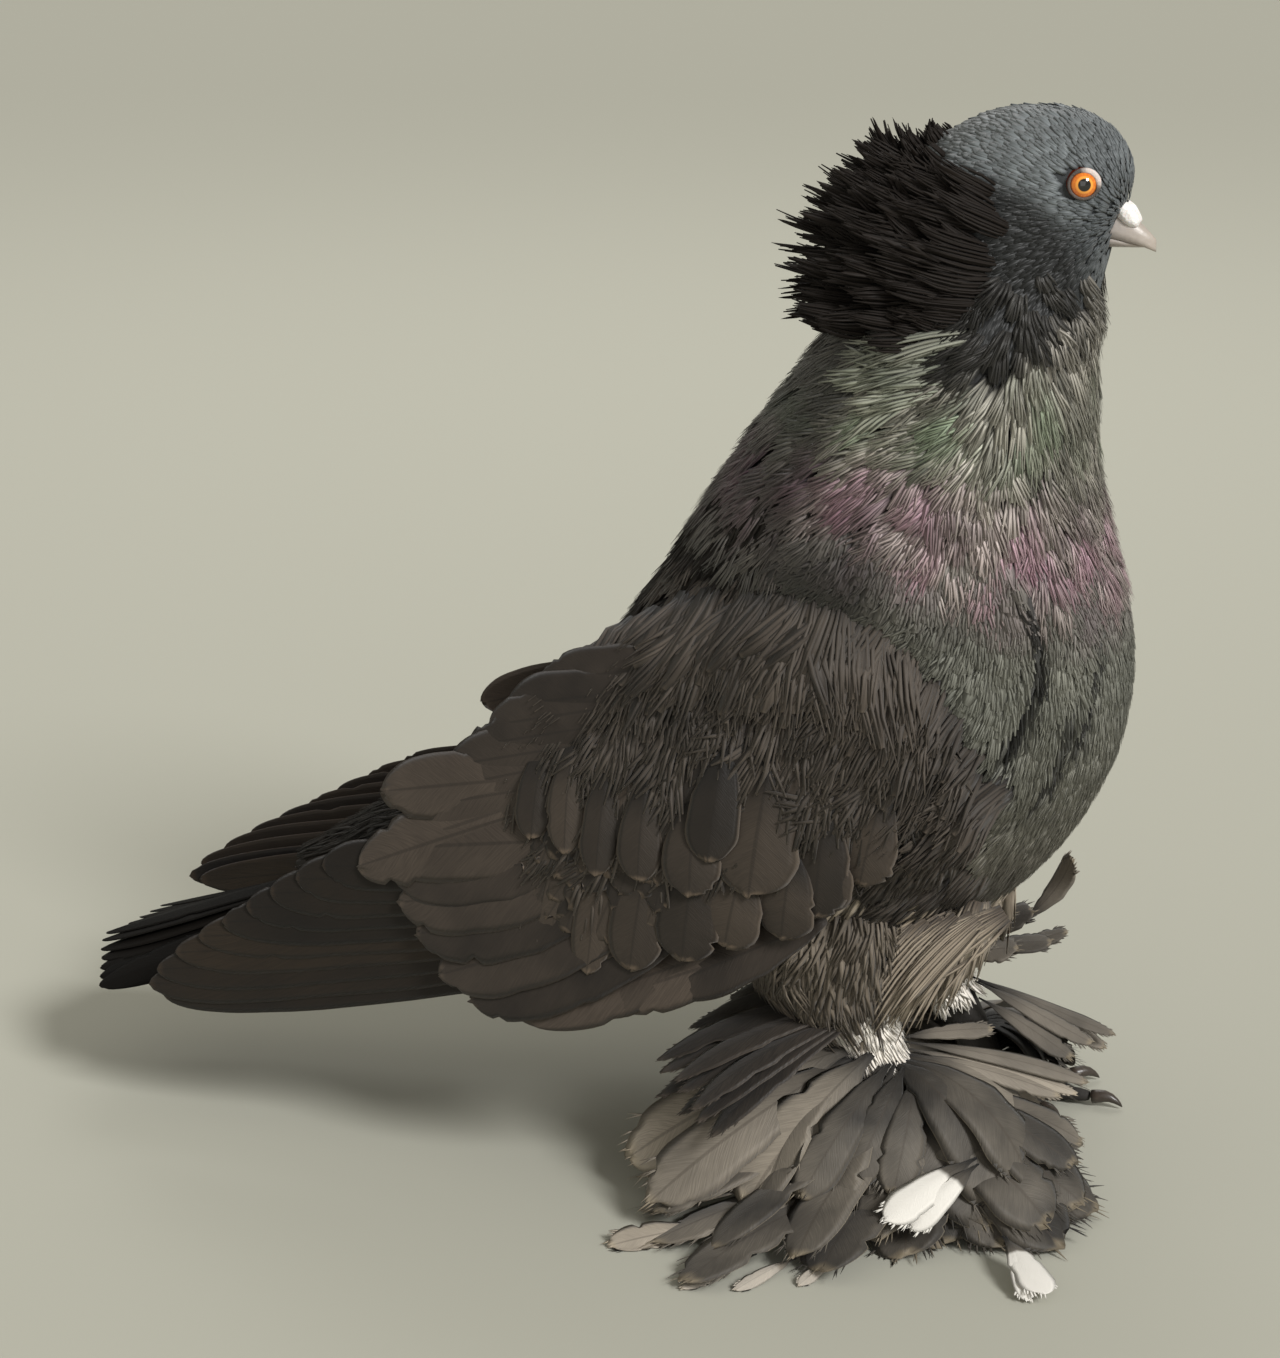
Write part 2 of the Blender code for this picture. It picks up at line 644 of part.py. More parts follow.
clear_scene()
looks = {
    "plumage": material("dark brown-black plumage", (0.045, 0.040, 0.038), 0.6),
    "head": material("blue-black head plumage", (0.050, 0.054, 0.060), 0.55),
    "neck": material("green and purple neck plumage", (0.055, 0.050, 0.052), 0.4),
    "hood": material("black hood plumage", (0.020, 0.017, 0.015), 0.6),
    "feather": material("dark quills", (0.050, 0.044, 0.042), 0.5),
    "foot": material("taupe foot feathers", (0.13, 0.115, 0.105), 0.6),
    "claw": material("dark horn", (0.06, 0.05, 0.045), 0.35),
    "beak": material("pale horn", (0.42, 0.40, 0.37), 0.35),
    "wattle": material("white wattle", (0.80, 0.79, 0.77), 0.7),
    "eye": material("orange eye", (0.72, 0.26, 0.03), 0.12),
}
make_bird()
stand_on_origin()
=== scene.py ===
import math

import bmesh
import bpy
import numpy as np
from mathutils import Matrix, Vector


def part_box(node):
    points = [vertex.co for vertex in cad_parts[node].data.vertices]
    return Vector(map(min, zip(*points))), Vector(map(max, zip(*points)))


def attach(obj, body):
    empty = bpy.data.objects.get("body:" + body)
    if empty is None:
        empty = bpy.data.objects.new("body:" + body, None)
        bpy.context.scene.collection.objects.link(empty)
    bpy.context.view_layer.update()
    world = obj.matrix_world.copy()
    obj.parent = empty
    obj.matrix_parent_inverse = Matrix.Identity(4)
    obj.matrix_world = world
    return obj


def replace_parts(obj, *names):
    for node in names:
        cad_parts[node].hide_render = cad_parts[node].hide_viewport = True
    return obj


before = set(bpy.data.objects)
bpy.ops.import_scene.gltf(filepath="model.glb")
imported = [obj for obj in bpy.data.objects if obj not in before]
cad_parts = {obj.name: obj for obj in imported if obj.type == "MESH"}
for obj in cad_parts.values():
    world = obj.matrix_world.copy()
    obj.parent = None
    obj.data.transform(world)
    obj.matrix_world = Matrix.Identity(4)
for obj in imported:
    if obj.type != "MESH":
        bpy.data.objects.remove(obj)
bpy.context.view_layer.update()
print("frame loaded")

# All shapes below are worked out in millimetres, on the bird's own axes: x ahead, y to its left, z up, with
# the origin on the floor midway between the feet. The right eye tells where that origin lies in the frame.
eyePlace = (23.2, -10.6, 308.4)
eyeLow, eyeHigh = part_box("eye_right")
shift = (np.array(eyeLow) + np.array(eyeHigh)) * 500 - np.array(eyePlace)
shift[2] = 0.0
rng = np.random.default_rng(7)
metre = 0.001  # millimetres to the scene's metres
patchSize = 0.003  # a small feather's share of the bake map
sides = {"right": -1, "left": 1}


# Small helpers

def hexColour(code):
    parts = [int(code[i:i + 2], 16) / 255 for i in (1, 3, 5)]
    linear = [c / 12.92 if c <= 0.04045 else ((c + 0.055) / 1.055) ** 2.4 for c in parts]
    return (*linear, 1.0)


def addNode(tree, kind, settings=None, *values, out=None, **links):
    # values fill the sockets in use in their order, links fill sockets by name with _ for spaces; gives one output
    made = tree.nodes.new(kind)
    for name, value in (settings or {}).items():
        setattr(made, name, value)
    pairs = list(zip([socket for socket in made.inputs if socket.enabled], values))
    pairs += [(made.inputs[name.replace("_", " ")], value) for name, value in links.items()]
    for socket, value in pairs:
        if isinstance(value, bpy.types.NodeSocket):
            tree.links.new(value, socket)
        else:
            socket.default_value = value
    return made.outputs[out] if out else next((socket for socket in made.outputs if socket.enabled), made)


def unit(v):
    v = np.asarray(v, float)
    return v / np.maximum(np.linalg.norm(v, axis=-1, keepdims=True), 1e-9)


def deep(v):  # one value a feather, spread over its barbs and their points
    return v[:, None, None]


def squared(v, axis):  # the unit part of a direction that stands square to an axis
    return unit(v - axis * (v * axis).sum(-1, keepdims=True))


def smoothRows(table, at):  # a table of rows read smoothly between its rows
    rows = np.array(table, float)
    last = len(rows) - 1
    at = np.clip(at, 0, last - 1e-6)
    i = at.astype(int)
    t = (at - i)[..., None]
    p0, p1, p2, p3 = rows[np.maximum(i - 1, 0)], rows[i], rows[i + 1], rows[np.minimum(i + 2, last)]
    return 0.5 * (2 * p1 + (p2 - p0) * t + (2 * p0 - 5 * p1 + 4 * p2 - p3) * t**2 + (3 * p1 - p0 - 3 * p2 + p3) * t**3)


def evenly(count, dims):  # quasi-random numbers that leave no gaps and no clumps
    ratio = {2: 1.32471795724, 3: 1.22074408461}[dims]
    return ((rng.uniform(0, 1, dims) + np.arange(1, count + 1)[:, None] * ratio ** -np.arange(1.0, dims + 1)) % 1).T


def bump01(value, middle, reach):  # 1 at the middle, falling to 0 at the reach
    return np.clip(1 - np.abs((np.asarray(value) - middle) / reach), 0, 1) ** 0.7


def wander(points, size, seed=0.0):  # smooth noise of about -1 to 1, with features of about that size in mm
    p = np.asarray(points) / size
    x, y, z = p[..., 0] + seed, p[..., 1] + 1.7 * seed, p[..., 2] - seed
    return ((np.sin(2.1 * x + 1.3 * np.sin(1.7 * y)) + np.sin(2.3 * y + 1.9 * np.sin(1.3 * z + 1))
        + np.sin(1.9 * z + 1.6 * np.sin(2.2 * x + 2))) / 3)


def inMap(share):  # a share of 0 to 1, kept off the edge of the bake map
    return 0.02 + 0.96 * share


def addObject(name, data):
    made = bpy.data.objects.new(name, data)
    bpy.context.scene.collection.objects.link(made)
    return made


def applyModifiers(piece):  # the piece's final mesh takes the place of its modifiers
    shaped = bpy.data.meshes.new_from_object(piece.evaluated_get(bpy.context.evaluated_depsgraph_get()))
    piece.modifiers.clear()
    piece.data = shaped
    shaped.polygons.foreach_set("use_smooth", np.ones(len(shaped.polygons), bool))
    return shaped


def makePiece(name, verts, faces, look, slotName, uvMaps=None, marks=None):
    mesh = bpy.data.meshes.new(name)
    points = (np.asarray(verts, float) + shift) * metre
    groups = [np.asarray(f, np.int32) for f in (faces if isinstance(faces, list) else [faces])]
    loops = np.concatenate([g.ravel() for g in groups])
    sizes = np.concatenate([np.full(len(g), g.shape[1], np.int32) for g in groups])
    mesh.vertices.add(len(points))
    mesh.vertices.foreach_set("co", points.astype(np.float32).ravel())
    mesh.loops.add(len(loops))
    mesh.loops.foreach_set("vertex_index", loops)
    mesh.polygons.add(len(sizes))
    mesh.polygons.foreach_set("loop_start", np.concatenate([[0], np.cumsum(sizes)[:-1]]).astype(np.int32))
    mesh.polygons.foreach_set("loop_total", sizes)
    mesh.update(calc_edges=True)
    mesh.validate()
    for uvName, values in (uvMaps or {}).items():
        layer = mesh.uv_layers.new(name=uvName)
        layer.data.foreach_set("uv", np.asarray(values, np.float32)[loops].ravel())
    for markName, values in (marks or {}).items():
        mark = mesh.attributes.new(markName, "FLOAT", "POINT")
        mark.data.foreach_set("value", np.asarray(values, np.float32))
    mesh.polygons.foreach_set("use_smooth", np.ones(len(sizes), bool))
    mesh.materials.append(look)
    return place(addObject(name, mesh), slotName)


def place(piece, slotName, *nodes):
    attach(piece, "root")
    if nodes:
        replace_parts(piece, *nodes)
    return piece


def turnOutwards(piece):
    work = bmesh.new()
    work.from_mesh(piece.data)
    bmesh.ops.recalc_face_normals(work, faces=work.faces)
    work.to_mesh(piece.data)
    work.free()
    return piece


# The body's form: the same sections as the solids', front end x and z, back end x and z, half width

body = {
    "sections": [
        (18.0, 329.0, 9.0, 329.5, 2.5), (26.0, 326.3, -1.0, 328.3, 7.0), (33.2, 320.5, -12.0, 324.0, 11.4),
        (37.0, 312.0, -21.0, 318.5, 14.8), (36.2, 303.0, -27.0, 311.5, 16.8), (33.0, 294.0, -31.0, 303.0, 18.6),
        (30.3, 283.5, -34.0, 294.0, 21.5), (27.5, 271.0, -38.0, 283.0, 26.0), (27.0, 257.5, -47.0, 267.5, 33.0),
        (27.0, 243.0, -60.0, 250.0, 40.0), (28.0, 222.0, -73.0, 232.0, 47.0), (33.0, 200.0, -85.5, 213.0, 54.0),
        (39.0, 178.0, -98.0, 192.0, 60.0), (41.0, 155.0, -112.0, 171.0, 65.0), (36.0, 130.0, -127.0, 152.0, 67.5),
        (21.0, 104.0, -142.0, 138.0, 67.0), (-4.0, 81.0, -156.0, 126.0, 63.0), (-36.0, 66.0, -170.0, 116.0, 56.0),
        (-74.0, 57.0, -184.0, 107.0, 47.0), (-112.0, 52.0, -198.0, 98.0, 37.0), (-146.0, 48.0, -212.0, 89.0, 28.0),
        (-174.0, 45.0, -226.0, 80.0, 20.0),
    ],
    "oval": 2.25,
    "coat": 2.6,  # how far the skin lies inside the solids
}
lastPlace = len(body["sections"]) - 1  # places on the body run from 0 at the brow to this at the tail


def trunkPoint(place, angle):  # angle 0 is the front, a quarter turn is the left side
    row = smoothRows(body["sections"], place)
    front = np.stack([row[..., 0], 0 * row[..., 0], row[..., 1]], -1)
    back = np.stack([row[..., 2], 0 * row[..., 0], row[..., 3]], -1)
    c, s = (np.sign(v) * np.abs(v) ** (2 / body["oval"]) for v in (np.cos(angle), np.sin(angle)))
    point = (front + back) / 2 + (front - back) / 2 * c[..., None]
    point[..., 1] += row[..., 4] * s
    return point


wing = {"out": 62.0, "taper": 0.163, "lean": 0.22, "x": -15.0, "z": 140.0, "slope": math.atan2(0.359, 0.933)}
armRows = [  # distance behind the bend, lower edge, upper edge, thickness
    (-13.0, -2.0, 16.0, 5.0), (-4.0, -14.0, 32.0, 12.0), (14.0, -24.0, 46.0, 17.0), (40.0, -32.0, 54.0, 19.0),
    (68.0, -38.0, 57.0, 18.5), (96.0, -39.0, 55.0, 15.5), (122.0, -35.0, 50.0, 11.5), (146.0, -24.0, 42.0, 7.0),
]


def wingAxes(side):
    def onPlane(x, z):
        out = wing["out"] - wing["taper"] * (wing["x"] - x) - wing["lean"] * (z - wing["z"])
        return np.array([x, side * out, z])
    start = onPlane(wing["x"], wing["z"])
    back = unit(onPlane(wing["x"] - 1, wing["z"] - math.tan(wing["slope"])) - start)
    other = onPlane(wing["x"], wing["z"] + 1) - start
    out = unit(np.cross(other, back))
    out = out if out[1] * side > 0 else -out
    return start, back, unit(other - back * (other @ back)), out


def wingPoint(side, back, up, out):
    start, backAxis, upAxis, outAxis = wingAxes(side)
    back, up, out = (np.asarray(v, float)[..., None] for v in (back, up, out))
    return start + backAxis * back + upAxis * up + outAxis * out


def armRow(back):  # lower edge, upper edge and thickness at a distance behind the bend
    return smoothRows(armRows, np.interp(back, [row[0] for row in armRows], range(len(armRows))))


def wingDome(side):  # the surface of the folded arm
    def point(back, up):
        row = armRow(back)
        middle, half = (row[..., 1] + row[..., 2]) / 2, (row[..., 2] - row[..., 1]) / 2
        share = np.clip((up - middle) / half, -0.999, 0.999)
        return wingPoint(side, back, up, row[..., 3] * (1 - share**2) ** 0.4)
    return point


def frameOf(surface, a, b, step=0.02):  # a point of a surface, and the surface's two directions there
    here = surface(a, b)
    alongA = (surface(a + step, b) - surface(a - step, b)) / (2 * step)
    alongB = (surface(a, b + step) - surface(a, b - step)) / (2 * step)
    return here, alongA, alongB


def outward(surface, a, b, inside):  # a point of a surface, and the normal that points away from a place inside
    here, alongA, alongB = frameOf(surface, a, b)
    normal = unit(np.cross(alongA, alongB))
    flip = np.sign(np.sum(normal * (here - inside), -1, keepdims=True))
    return here, normal * np.where(flip == 0, 1, flip)


# Feathers: every one is a closed blade with a ridge along its shaft

def bladeFaces(count, rows, columns):
    ring = np.arange(columns)
    quads = []
    for r in range(rows - 1):
        a, b = r * columns + ring, r * columns + (ring + 1) % columns
        quads.append(np.stack([a, b, b + columns, a + columns], 1))
    quads = np.concatenate(quads)
    ends = np.array([ring[::-1], (rows - 1) * columns + ring])
    start = (np.arange(count) * rows * columns)[:, None, None]
    return [(quads[None] + start).reshape(-1, 4), (ends[None] + start).reshape(-1, columns)]


def smallFeathers(spines, normals, widths, outline, ridge, droop=0.0):  # three-sided blades along given spines
    count, rows = spines.shape[:2]
    tangent = unit(np.gradient(spines, axis=1))
    side = unit(np.cross(tangent, normals))
    half = (widths[:, None] / 2 * np.asarray(outline)[None])[..., None]
    dip = normals * droop * half
    high = normals * (ridge * np.sqrt(np.maximum(half, 0.02)))
    verts = np.stack([spines - side * half - dip, spines + high, spines + side * half - dip], 2).reshape(-1, 3)
    t = np.tile(np.linspace(0, 1, rows)[None, :, None], (count, 1, 3))
    u = np.tile(np.array([0.0, 0.5, 1.0])[None, None], (count, rows, 1))
    return verts, bladeFaces(count, rows, 3), np.stack([u.ravel(), t.ravel()], 1)


def spread(surface, middle, a, b, moves):  # steps in mm from each root, laid along the surface
    grow = (slice(None),) + (None,) * (moves.ndim - 2)
    _, alongA, alongB = frameOf(surface, a, b)
    aa, bb, ab = (alongA**2).sum(-1), (alongB**2).sum(-1), (alongA * alongB).sum(-1)
    det = np.maximum(aa * bb - ab**2, 1e-6)
    la, lb = (moves * alongA[grow]).sum(-1), (moves * alongB[grow]).sum(-1)
    pa = a[grow] + (la * bb[grow] - lb * ab[grow]) / det[grow]
    pb = b[grow] + (lb * aa[grow] - la * ab[grow]) / det[grow]
    return outward(surface, pa, pb, middle(pa, pb))


def barbFan(n, m, wobble, fall, low, high, last):  # each barb's place across the fan and its share of the length
    share = np.linspace(-1, 1, m)[None] + rng.normal(0, wobble, (n, m))
    ends = (1 - fall * share**2) * rng.uniform(low, high, (n, m))
    return np.concatenate([share, np.zeros((n, 1))], 1), np.concatenate([ends, np.full((n, 1), last)], 1)


def bundles(surface, middle, a, b, lay, length, width, cfg, rise=None):
    # a contour feather: loose barbs fanned out over a soft vane
    n, m, rows = len(a), cfg["strands"], cfg.get("rows", 5)
    normal = outward(surface, a, b, middle(a, b))[1]
    lay = squared(lay, normal)
    across = np.cross(normal, lay)
    t = np.linspace(0, 1, rows)
    share, ends = barbFan(n, m, 0.14, 0.22, 0.84, 1.08, 0.9)
    along = deep(length) * ends[..., None] * t
    bend = (rng.normal(0, cfg.get("curve", 0.06), n) * length)[:, None, None]
    sideways = deep(width) / 2 * share[..., None] * (0.25 + 0.75 * t**0.8) + bend * (along / deep(length)) ** 2
    moves = deep(lay) * along[..., None] + deep(across) * sideways[..., None]
    point, out = spread(surface, middle, a, b, moves)
    lift = (cfg["lift"] * rng.uniform(0.5, 1.5, (n, 1))
        * np.concatenate([rng.uniform(0.75, 1.25, (n, m)), np.full((n, 1), 0.5)], 1))
    height = -1.2 + (lift[..., None] + 1.2) * t**0.75
    if rise is not None:
        height = height + rise(point) * t**0.5
    spines = point + out * height[..., None]
    return strandSet(spines, out, width, cfg)


def strandSet(spines, out, width, cfg):  # widths and tones of the barbs, and of the vane under them
    n, m, rows = len(spines), spines.shape[1] - 1, spines.shape[2]
    widths = np.concatenate([cfg["barb"] * rng.uniform(0.75, 1.25, (n, m)), width[:, None] * cfg.get("base", 0.95)], 1)
    low, mood, loose = cfg.get("tones", (0.05, 0.65, 0.25))
    moods = (low + mood * np.clip(0.6 * rng.uniform(0, 1, (n, 1)) + 0.2
        + 0.5 * wander(spines[:, -1, 0], 9, 3)[:, None], 0, 1))
    tone = np.concatenate([moods + loose * rng.uniform(0, 1, (n, m)), moods + loose * 0.15], 1)
    return (spines.reshape(-1, rows, 3), out.reshape(-1, rows, 3), widths.ravel(), np.clip(tone, 0, 1).ravel(),
        np.repeat(np.arange(n), m + 1))


# the same, between free places; bow lifts the middle, hook turns the end
def freeBundles(root, tip, face, width, bow, cfg, hook=0.0):
    n, m, rows = len(root), cfg["strands"], cfg.get("rows", 6)
    line = tip - root
    length = np.linalg.norm(line, axis=-1)
    ahead = unit(line)
    out = squared(face, ahead)
    side = np.cross(ahead, out)
    share, ends = barbFan(n, m, 0.12, 0.14, cfg.get("short", 0.8), 1.03, 0.85)
    s = np.linspace(0, 1, rows) * ends[..., None]
    turn = (rng.normal(0, cfg.get("curve", 0.08), n) * length + hook)[:, None, None]
    lateral = (deep(width) / 2 * share[..., None] * np.interp(s, [0, 0.3, 0.7, 1.0],
        cfg.get("fan", [0.4, 0.85, 1.0, 0.85])) + turn * s**2)
    high = (deep(bow) * 4 * s * (1 - s) + deep(width) * 0.10 * (1 - share[..., None] ** 2)
        + rng.normal(0, cfg.get("loose", 0.25), (n, m + 1, 1)) * s)
    high[:, -1] -= 0.5
    spines = deep(root) + deep(line) * s[..., None] + deep(side) * lateral[..., None] + deep(out) * high[..., None]
    return strandSet(spines, np.broadcast_to(deep(out), spines.shape), width, cfg)


def bundlePiece(name, surface, middle, a, b, lay, length, width, cfg, look, slotName, marks=None, rise=None,
        spanB=math.tau, spanA=lastPlace, startA=0.0, startB=0.0):
    rootUv = np.stack([inMap(((b - startB) / spanB) % 1), inMap(np.clip((a - startA) / spanA, 0, 1))], 1)
    return strandPiece(name, bundles(surface, middle, a, b, lay, length, width, cfg, rise), rootUv, cfg, look,
        slotName, marks)


def strandPiece(name, strands, rootUv, cfg, look, slotName, marks=None):
    spines, normals, widths, tone, owner = strands
    rows = spines.shape[1]
    outline = np.interp(np.linspace(0, 1, rows), [0, 0.3, 0.6, 0.85, 1],
        cfg.get("outline", [0.6, 0.95, 1.0, 0.75, 0.2]))
    verts, faces, vaneUv = smallFeathers(spines, normals, widths, outline, cfg.get("ridge", 0.14), 0.1)
    per = rows * 3
    rootUv = rootUv[owner]
    values = {"tone": np.repeat(tone, per)}
    middles = spines[:, rows // 2]
    for mark, rule in (marks or {}).items():
        values[mark] = np.repeat(np.clip(rule(middles), 0, 1), per)
    return makePiece(name, verts, faces, look, slotName, {"vane": vaneUv, "OFBake": bakePatch(rootUv, vaneUv, per)},
        values)


def bakePatch(rootUv, vaneUv, perFeather):  # each small feather's patch of the bake map
    return np.clip(np.repeat(rootUv, perFeather, 0) + (vaneUv - 0.5) * patchSize, 0.001, 0.999)


vaneShape = {  # half width along the vane, and where its rounded end starts
    "flight": ([(0, 0.10), (0.08, 0.16), (0.16, 0.62), (0.4, 0.92), (0.7, 1.0), (1, 0.9)], 0.80),
    "covert": ([(0, 0.15), (0.15, 0.55), (0.4, 0.92), (0.7, 1.0), (1, 1.0)], 0.62),
    "muff": ([(0, 0.08), (0.12, 0.14), (0.25, 0.5), (0.5, 0.88), (0.75, 1.0), (1, 1.0)], 0.74),
    "plume": ([(0, 0.3), (0.25, 0.8), (0.55, 1.0), (0.8, 0.75), (1, 0.5)], 0.80),
    "lance": ([(0, 0.2), (0.2, 0.6), (0.5, 1.0), (0.75, 0.9), (1, 0.6)], 0.70),
}


# where each point of a vane lies: along 0 to 1, across in mm
def vaneGrid(kind, rows, columns, count, width, ragged, pick):
    t = 1 - (1 - np.linspace(0, 1, rows)) ** 1.5
    table, start = vaneShape[kind]
    shape = (np.interp(t, *zip(*table)) * np.sqrt(np.clip(1 - (np.clip(t - start, 0, 1) / (1.0001 - start)) ** 2,
        0.004, 1)))
    across = np.linspace(-1, 1, columns)
    half = deep(width) / 2 * shape[None, :, None]
    knots = pick.uniform(-1, 1, (count, 2, 9))
    wave = np.stack([[np.interp(t, np.linspace(0, 1, 9), k) for k in pair] for pair in knots])  # count, 2, rows
    edge = 1 + (0.04 + 0.05 * ragged) * wave
    notch = (pick.uniform(0, 1, (count, 2, rows)) < 0.05 + 0.12 * ragged) & (t > 0.3)
    edge = edge * np.where(notch, 1 - pick.uniform(0.06, 0.16 + 0.3 * ragged, (count, 2, rows)), 1)
    side = np.where(across < 0, 0, 1)
    reach = half * across[None, None] * (1 + (edge[:, side].transpose(0, 2, 1) - 1) * np.abs(across) ** 2)
    along = t[None, :, None] + 0 * reach
    slip = 0.35 * np.abs(reach) * (t[None, :, None] * (1 - t[None, :, None]) * 2)
    slip = (slip + deep(width) * (0.03 + 0.16 * ragged) * t[None, :, None] ** 4
        * pick.uniform(-1, 0.6, (count, 1, columns)))
    return t, across, along, reach, slip


def vaneSolid(top, out, across, t, thick):  # a closed blade from its upper face
    ridge = np.where(np.abs(across) < 0.01, 0.3, 0.0)[None] * (1 - t[:, None] * 0.8)
    body = thick * (0.25 + 0.75 * (1 - np.abs(across)))[None] * (1 - 0.5 * t[:, None])
    upper = top + out * (body / 2 + ridge)[..., None]
    lower = (top - out * (body / 2)[..., None])[:, :, ::-1][:, :, 1:-1]
    count, rows = top.shape[:2]
    u = np.concatenate([(across + 1) / 2, ((across + 1) / 2)[::-1][1:-1]])
    uv = np.stack([np.tile(u, (count, rows, 1)), np.tile(t[None, :, None], (count, 1, len(u)))], -1)
    return (np.concatenate([upper, lower], 2).reshape(-1, 3), uv.reshape(-1, 2), bladeFaces(count, rows, len(u)),
        np.repeat(np.arange(count), rows * len(u)))


def quills(specs, kind, rows=18, columns=7, ragged=0.0, thick=0.45, cup=0.10, fray=0, seed=1):
    # specs: root, tip, outer face, width, lift, sideways bend, tilt about the shaft, curl of the end
    pick = np.random.default_rng(seed)
    count = len(specs)
    root, tip, face = (np.array([s[k] for s in specs], float) for k in (0, 1, 2))
    width, lift, bend, tilt = (np.array([s[k] for s in specs], float) for k in (3, 4, 5, 6))
    curl = np.array([s[7] if len(s) > 7 else 0.0 for s in specs])
    line = unit(tip - root)
    out = squared(face, line)
    side = np.cross(line, out)
    c, s = np.cos(tilt)[:, None], np.sin(tilt)[:, None]
    out, side = out * c - side * s, side * c + out * s
    t, across, along, reach, slip = vaneGrid(kind, rows, columns, count, width, ragged, pick)
    bow = 4 * along * (1 - along) * deep(lift) + deep(curl) * along**3
    top = deep(root) + (tip - root)[:, None, None] * along[..., None] + deep(line) * slip[..., None]
    top = top + deep(side) * (reach + deep(bend) * along**2)[..., None]
    top = top + deep(out) * (bow - cup * np.abs(reach) * np.abs(across))[..., None]
    faceOut = np.broadcast_to(deep(out), top.shape)
    verts, uv, faces, owner = vaneSolid(top, faceOut, across, t, thick)
    if fray:  # loose barbs beyond the end of the vane
        at = pick.uniform(0.62, 1.0, (count, fray)) ** 0.6
        hand = pick.choice([-1, 1], (count, fray))
        rowAt = np.clip((at * (rows - 1)).astype(int), 0, rows - 1)
        col = np.where(hand < 0, 0, columns - 1)
        inner = np.where(at > 0.93, pick.integers(0, columns, (count, fray)), col)
        start = top[np.arange(count)[:, None], rowAt, inner]
        angle = (1 - at) * 1.7 * hand + pick.normal(0, 0.14, at.shape)
        away = line[:, None] * np.cos(angle)[..., None] + side[:, None] * np.sin(angle)[..., None]
        reachOut = width[:, None] * pick.uniform(0.05, 0.06 + 0.4 * ragged, at.shape)
        k = np.linspace(-0.5, 1, 3)
        spines = (start[:, :, None] + away[:, :, None] * (reachOut[..., None] * k)[..., None]
            - deep(out) * (0.08 * reachOut[..., None] * np.clip(k, 0, 1) ** 2)[..., None])
        normals = np.broadcast_to(deep(out), spines.shape)
        extra, extraFaces, extraUv = smallFeathers(spines.reshape(-1, 3, 3), normals.reshape(-1, 3, 3),
            pick.uniform(0.5, 0.9, count * fray), [1.0, 0.9, 0.15], 0.15)
        extraUv = np.stack([0.5 + 0.48 * np.repeat(hand.ravel(), 9), np.repeat(np.clip(at.ravel() + 0.02, 0, 1), 9)], 1)
        faces = faces + [f + len(verts) for f in extraFaces]
        verts, uv = np.concatenate([verts, extra]), np.concatenate([uv, extraUv])
        owner = np.concatenate([owner, np.repeat(np.arange(count), fray * 9)])
    return verts, faces, uv, owner


def quillStrips(vaneUv, index, count):  # each large feather's own strip of the bake map
    perRow = max(1, math.ceil(math.sqrt(count)))
    cell = 1 / perRow
    return np.stack([(index % perRow + 0.06 + 0.88 * vaneUv[:, 0]) * cell,
        (index // perRow + 0.04 + 0.92 * vaneUv[:, 1]) * cell], 1)


def quillPiece(name, specs, kind, look, slotName, tones=None, white=None, dark=None, floor=False, **shape):
    verts, faces, vaneUv, index = quills(specs, kind, **shape)
    if floor:
        verts[:, 2] = np.maximum(verts[:, 2], 0.2 + 0.25 * vaneUv[:, 1])
    tone = rng.uniform(0, 1, len(specs)) if tones is None else np.asarray(tones)
    marks = {"tone": tone[index]}
    for mark, values in (("white", white), ("dark", dark)):
        if values is not None:
            marks[mark] = np.asarray(values, float)[index]
    return makePiece(name, verts, faces, look, slotName,
        {"vane": vaneUv, "OFBake": quillStrips(vaneUv, index, len(specs))}, marks)


def surfaceVanes(name, surface, middle, a, b, lay, length, width, kind, look, slotName, height, rows=10, columns=5,
        ragged=0.15, thick=0.4, seed=5, tones=None, dark=None):
    pick = np.random.default_rng(seed)
    normal = outward(surface, a, b, middle(a, b))[1]
    lay = squared(lay, normal)
    side = np.cross(normal, lay)
    t, across, along, reach, slip = vaneGrid(kind, rows, columns, len(a), width, ragged, pick)
    moves = deep(lay) * (along * deep(length) + slip)[..., None] + deep(side) * reach[..., None]
    point, out = spread(surface, middle, a, b, moves)
    lifted = deep(height) * (0.15 + 0.85 * along**0.8) - 0.06 * np.abs(reach) * np.abs(across)
    verts, uv, faces, owner = vaneSolid(point + out * lifted[..., None], out, across, t, thick)
    marks = {"tone": (rng.uniform(0, 1, len(a)) if tones is None else tones)[owner]}
    if dark is not None:
        marks["dark"] = dark[owner]
    return makePiece(name, verts, faces, look, slotName, {"vane": uv, "OFBake": quillStrips(uv, owner, len(a))}, marks)


# Materials

times, minus, larger, apart = ({"operation": kind} for kind in ("MULTIPLY", "SUBTRACT", "MAXIMUM", "ABSOLUTE"))
added = {"operation": "ADD", "use_clamp": True}
smooth, coloured = {"interpolation_type": "SMOOTHSTEP"}, {"data_type": "RGBA"}
sums, mixer, ranger, noise = "ShaderNodeMath", "ShaderNodeMix", "ShaderNodeMapRange", "ShaderNodeTexNoise"


def newMaterial(name, **values):  # values of the shader's own sockets, by name with _ for spaces
    made = bpy.data.materials.new(name)
    made.use_nodes = True
    tree = made.node_tree
    shader = tree.nodes["Principled BSDF"]
    for socket, value in values.items():
        shader.inputs[socket.replace("_", " ")].default_value = value
    return made, tree, shader


def dress(tree, shader, colour, layers, height=None, strength=0.4, depth=0.0005):
    # lays colours over one another, each where its share says, and gives the surface its relief
    for share, code in layers:
        colour = addNode(tree, mixer, coloured, share, colour, hexColour(code))
    tree.links.new(colour, shader.inputs["Base Color"])
    if height is not None:
        relief = addNode(tree, "ShaderNodeBump", Height=height, Strength=strength, Distance=depth)
        tree.links.new(relief, shader.inputs["Normal"])


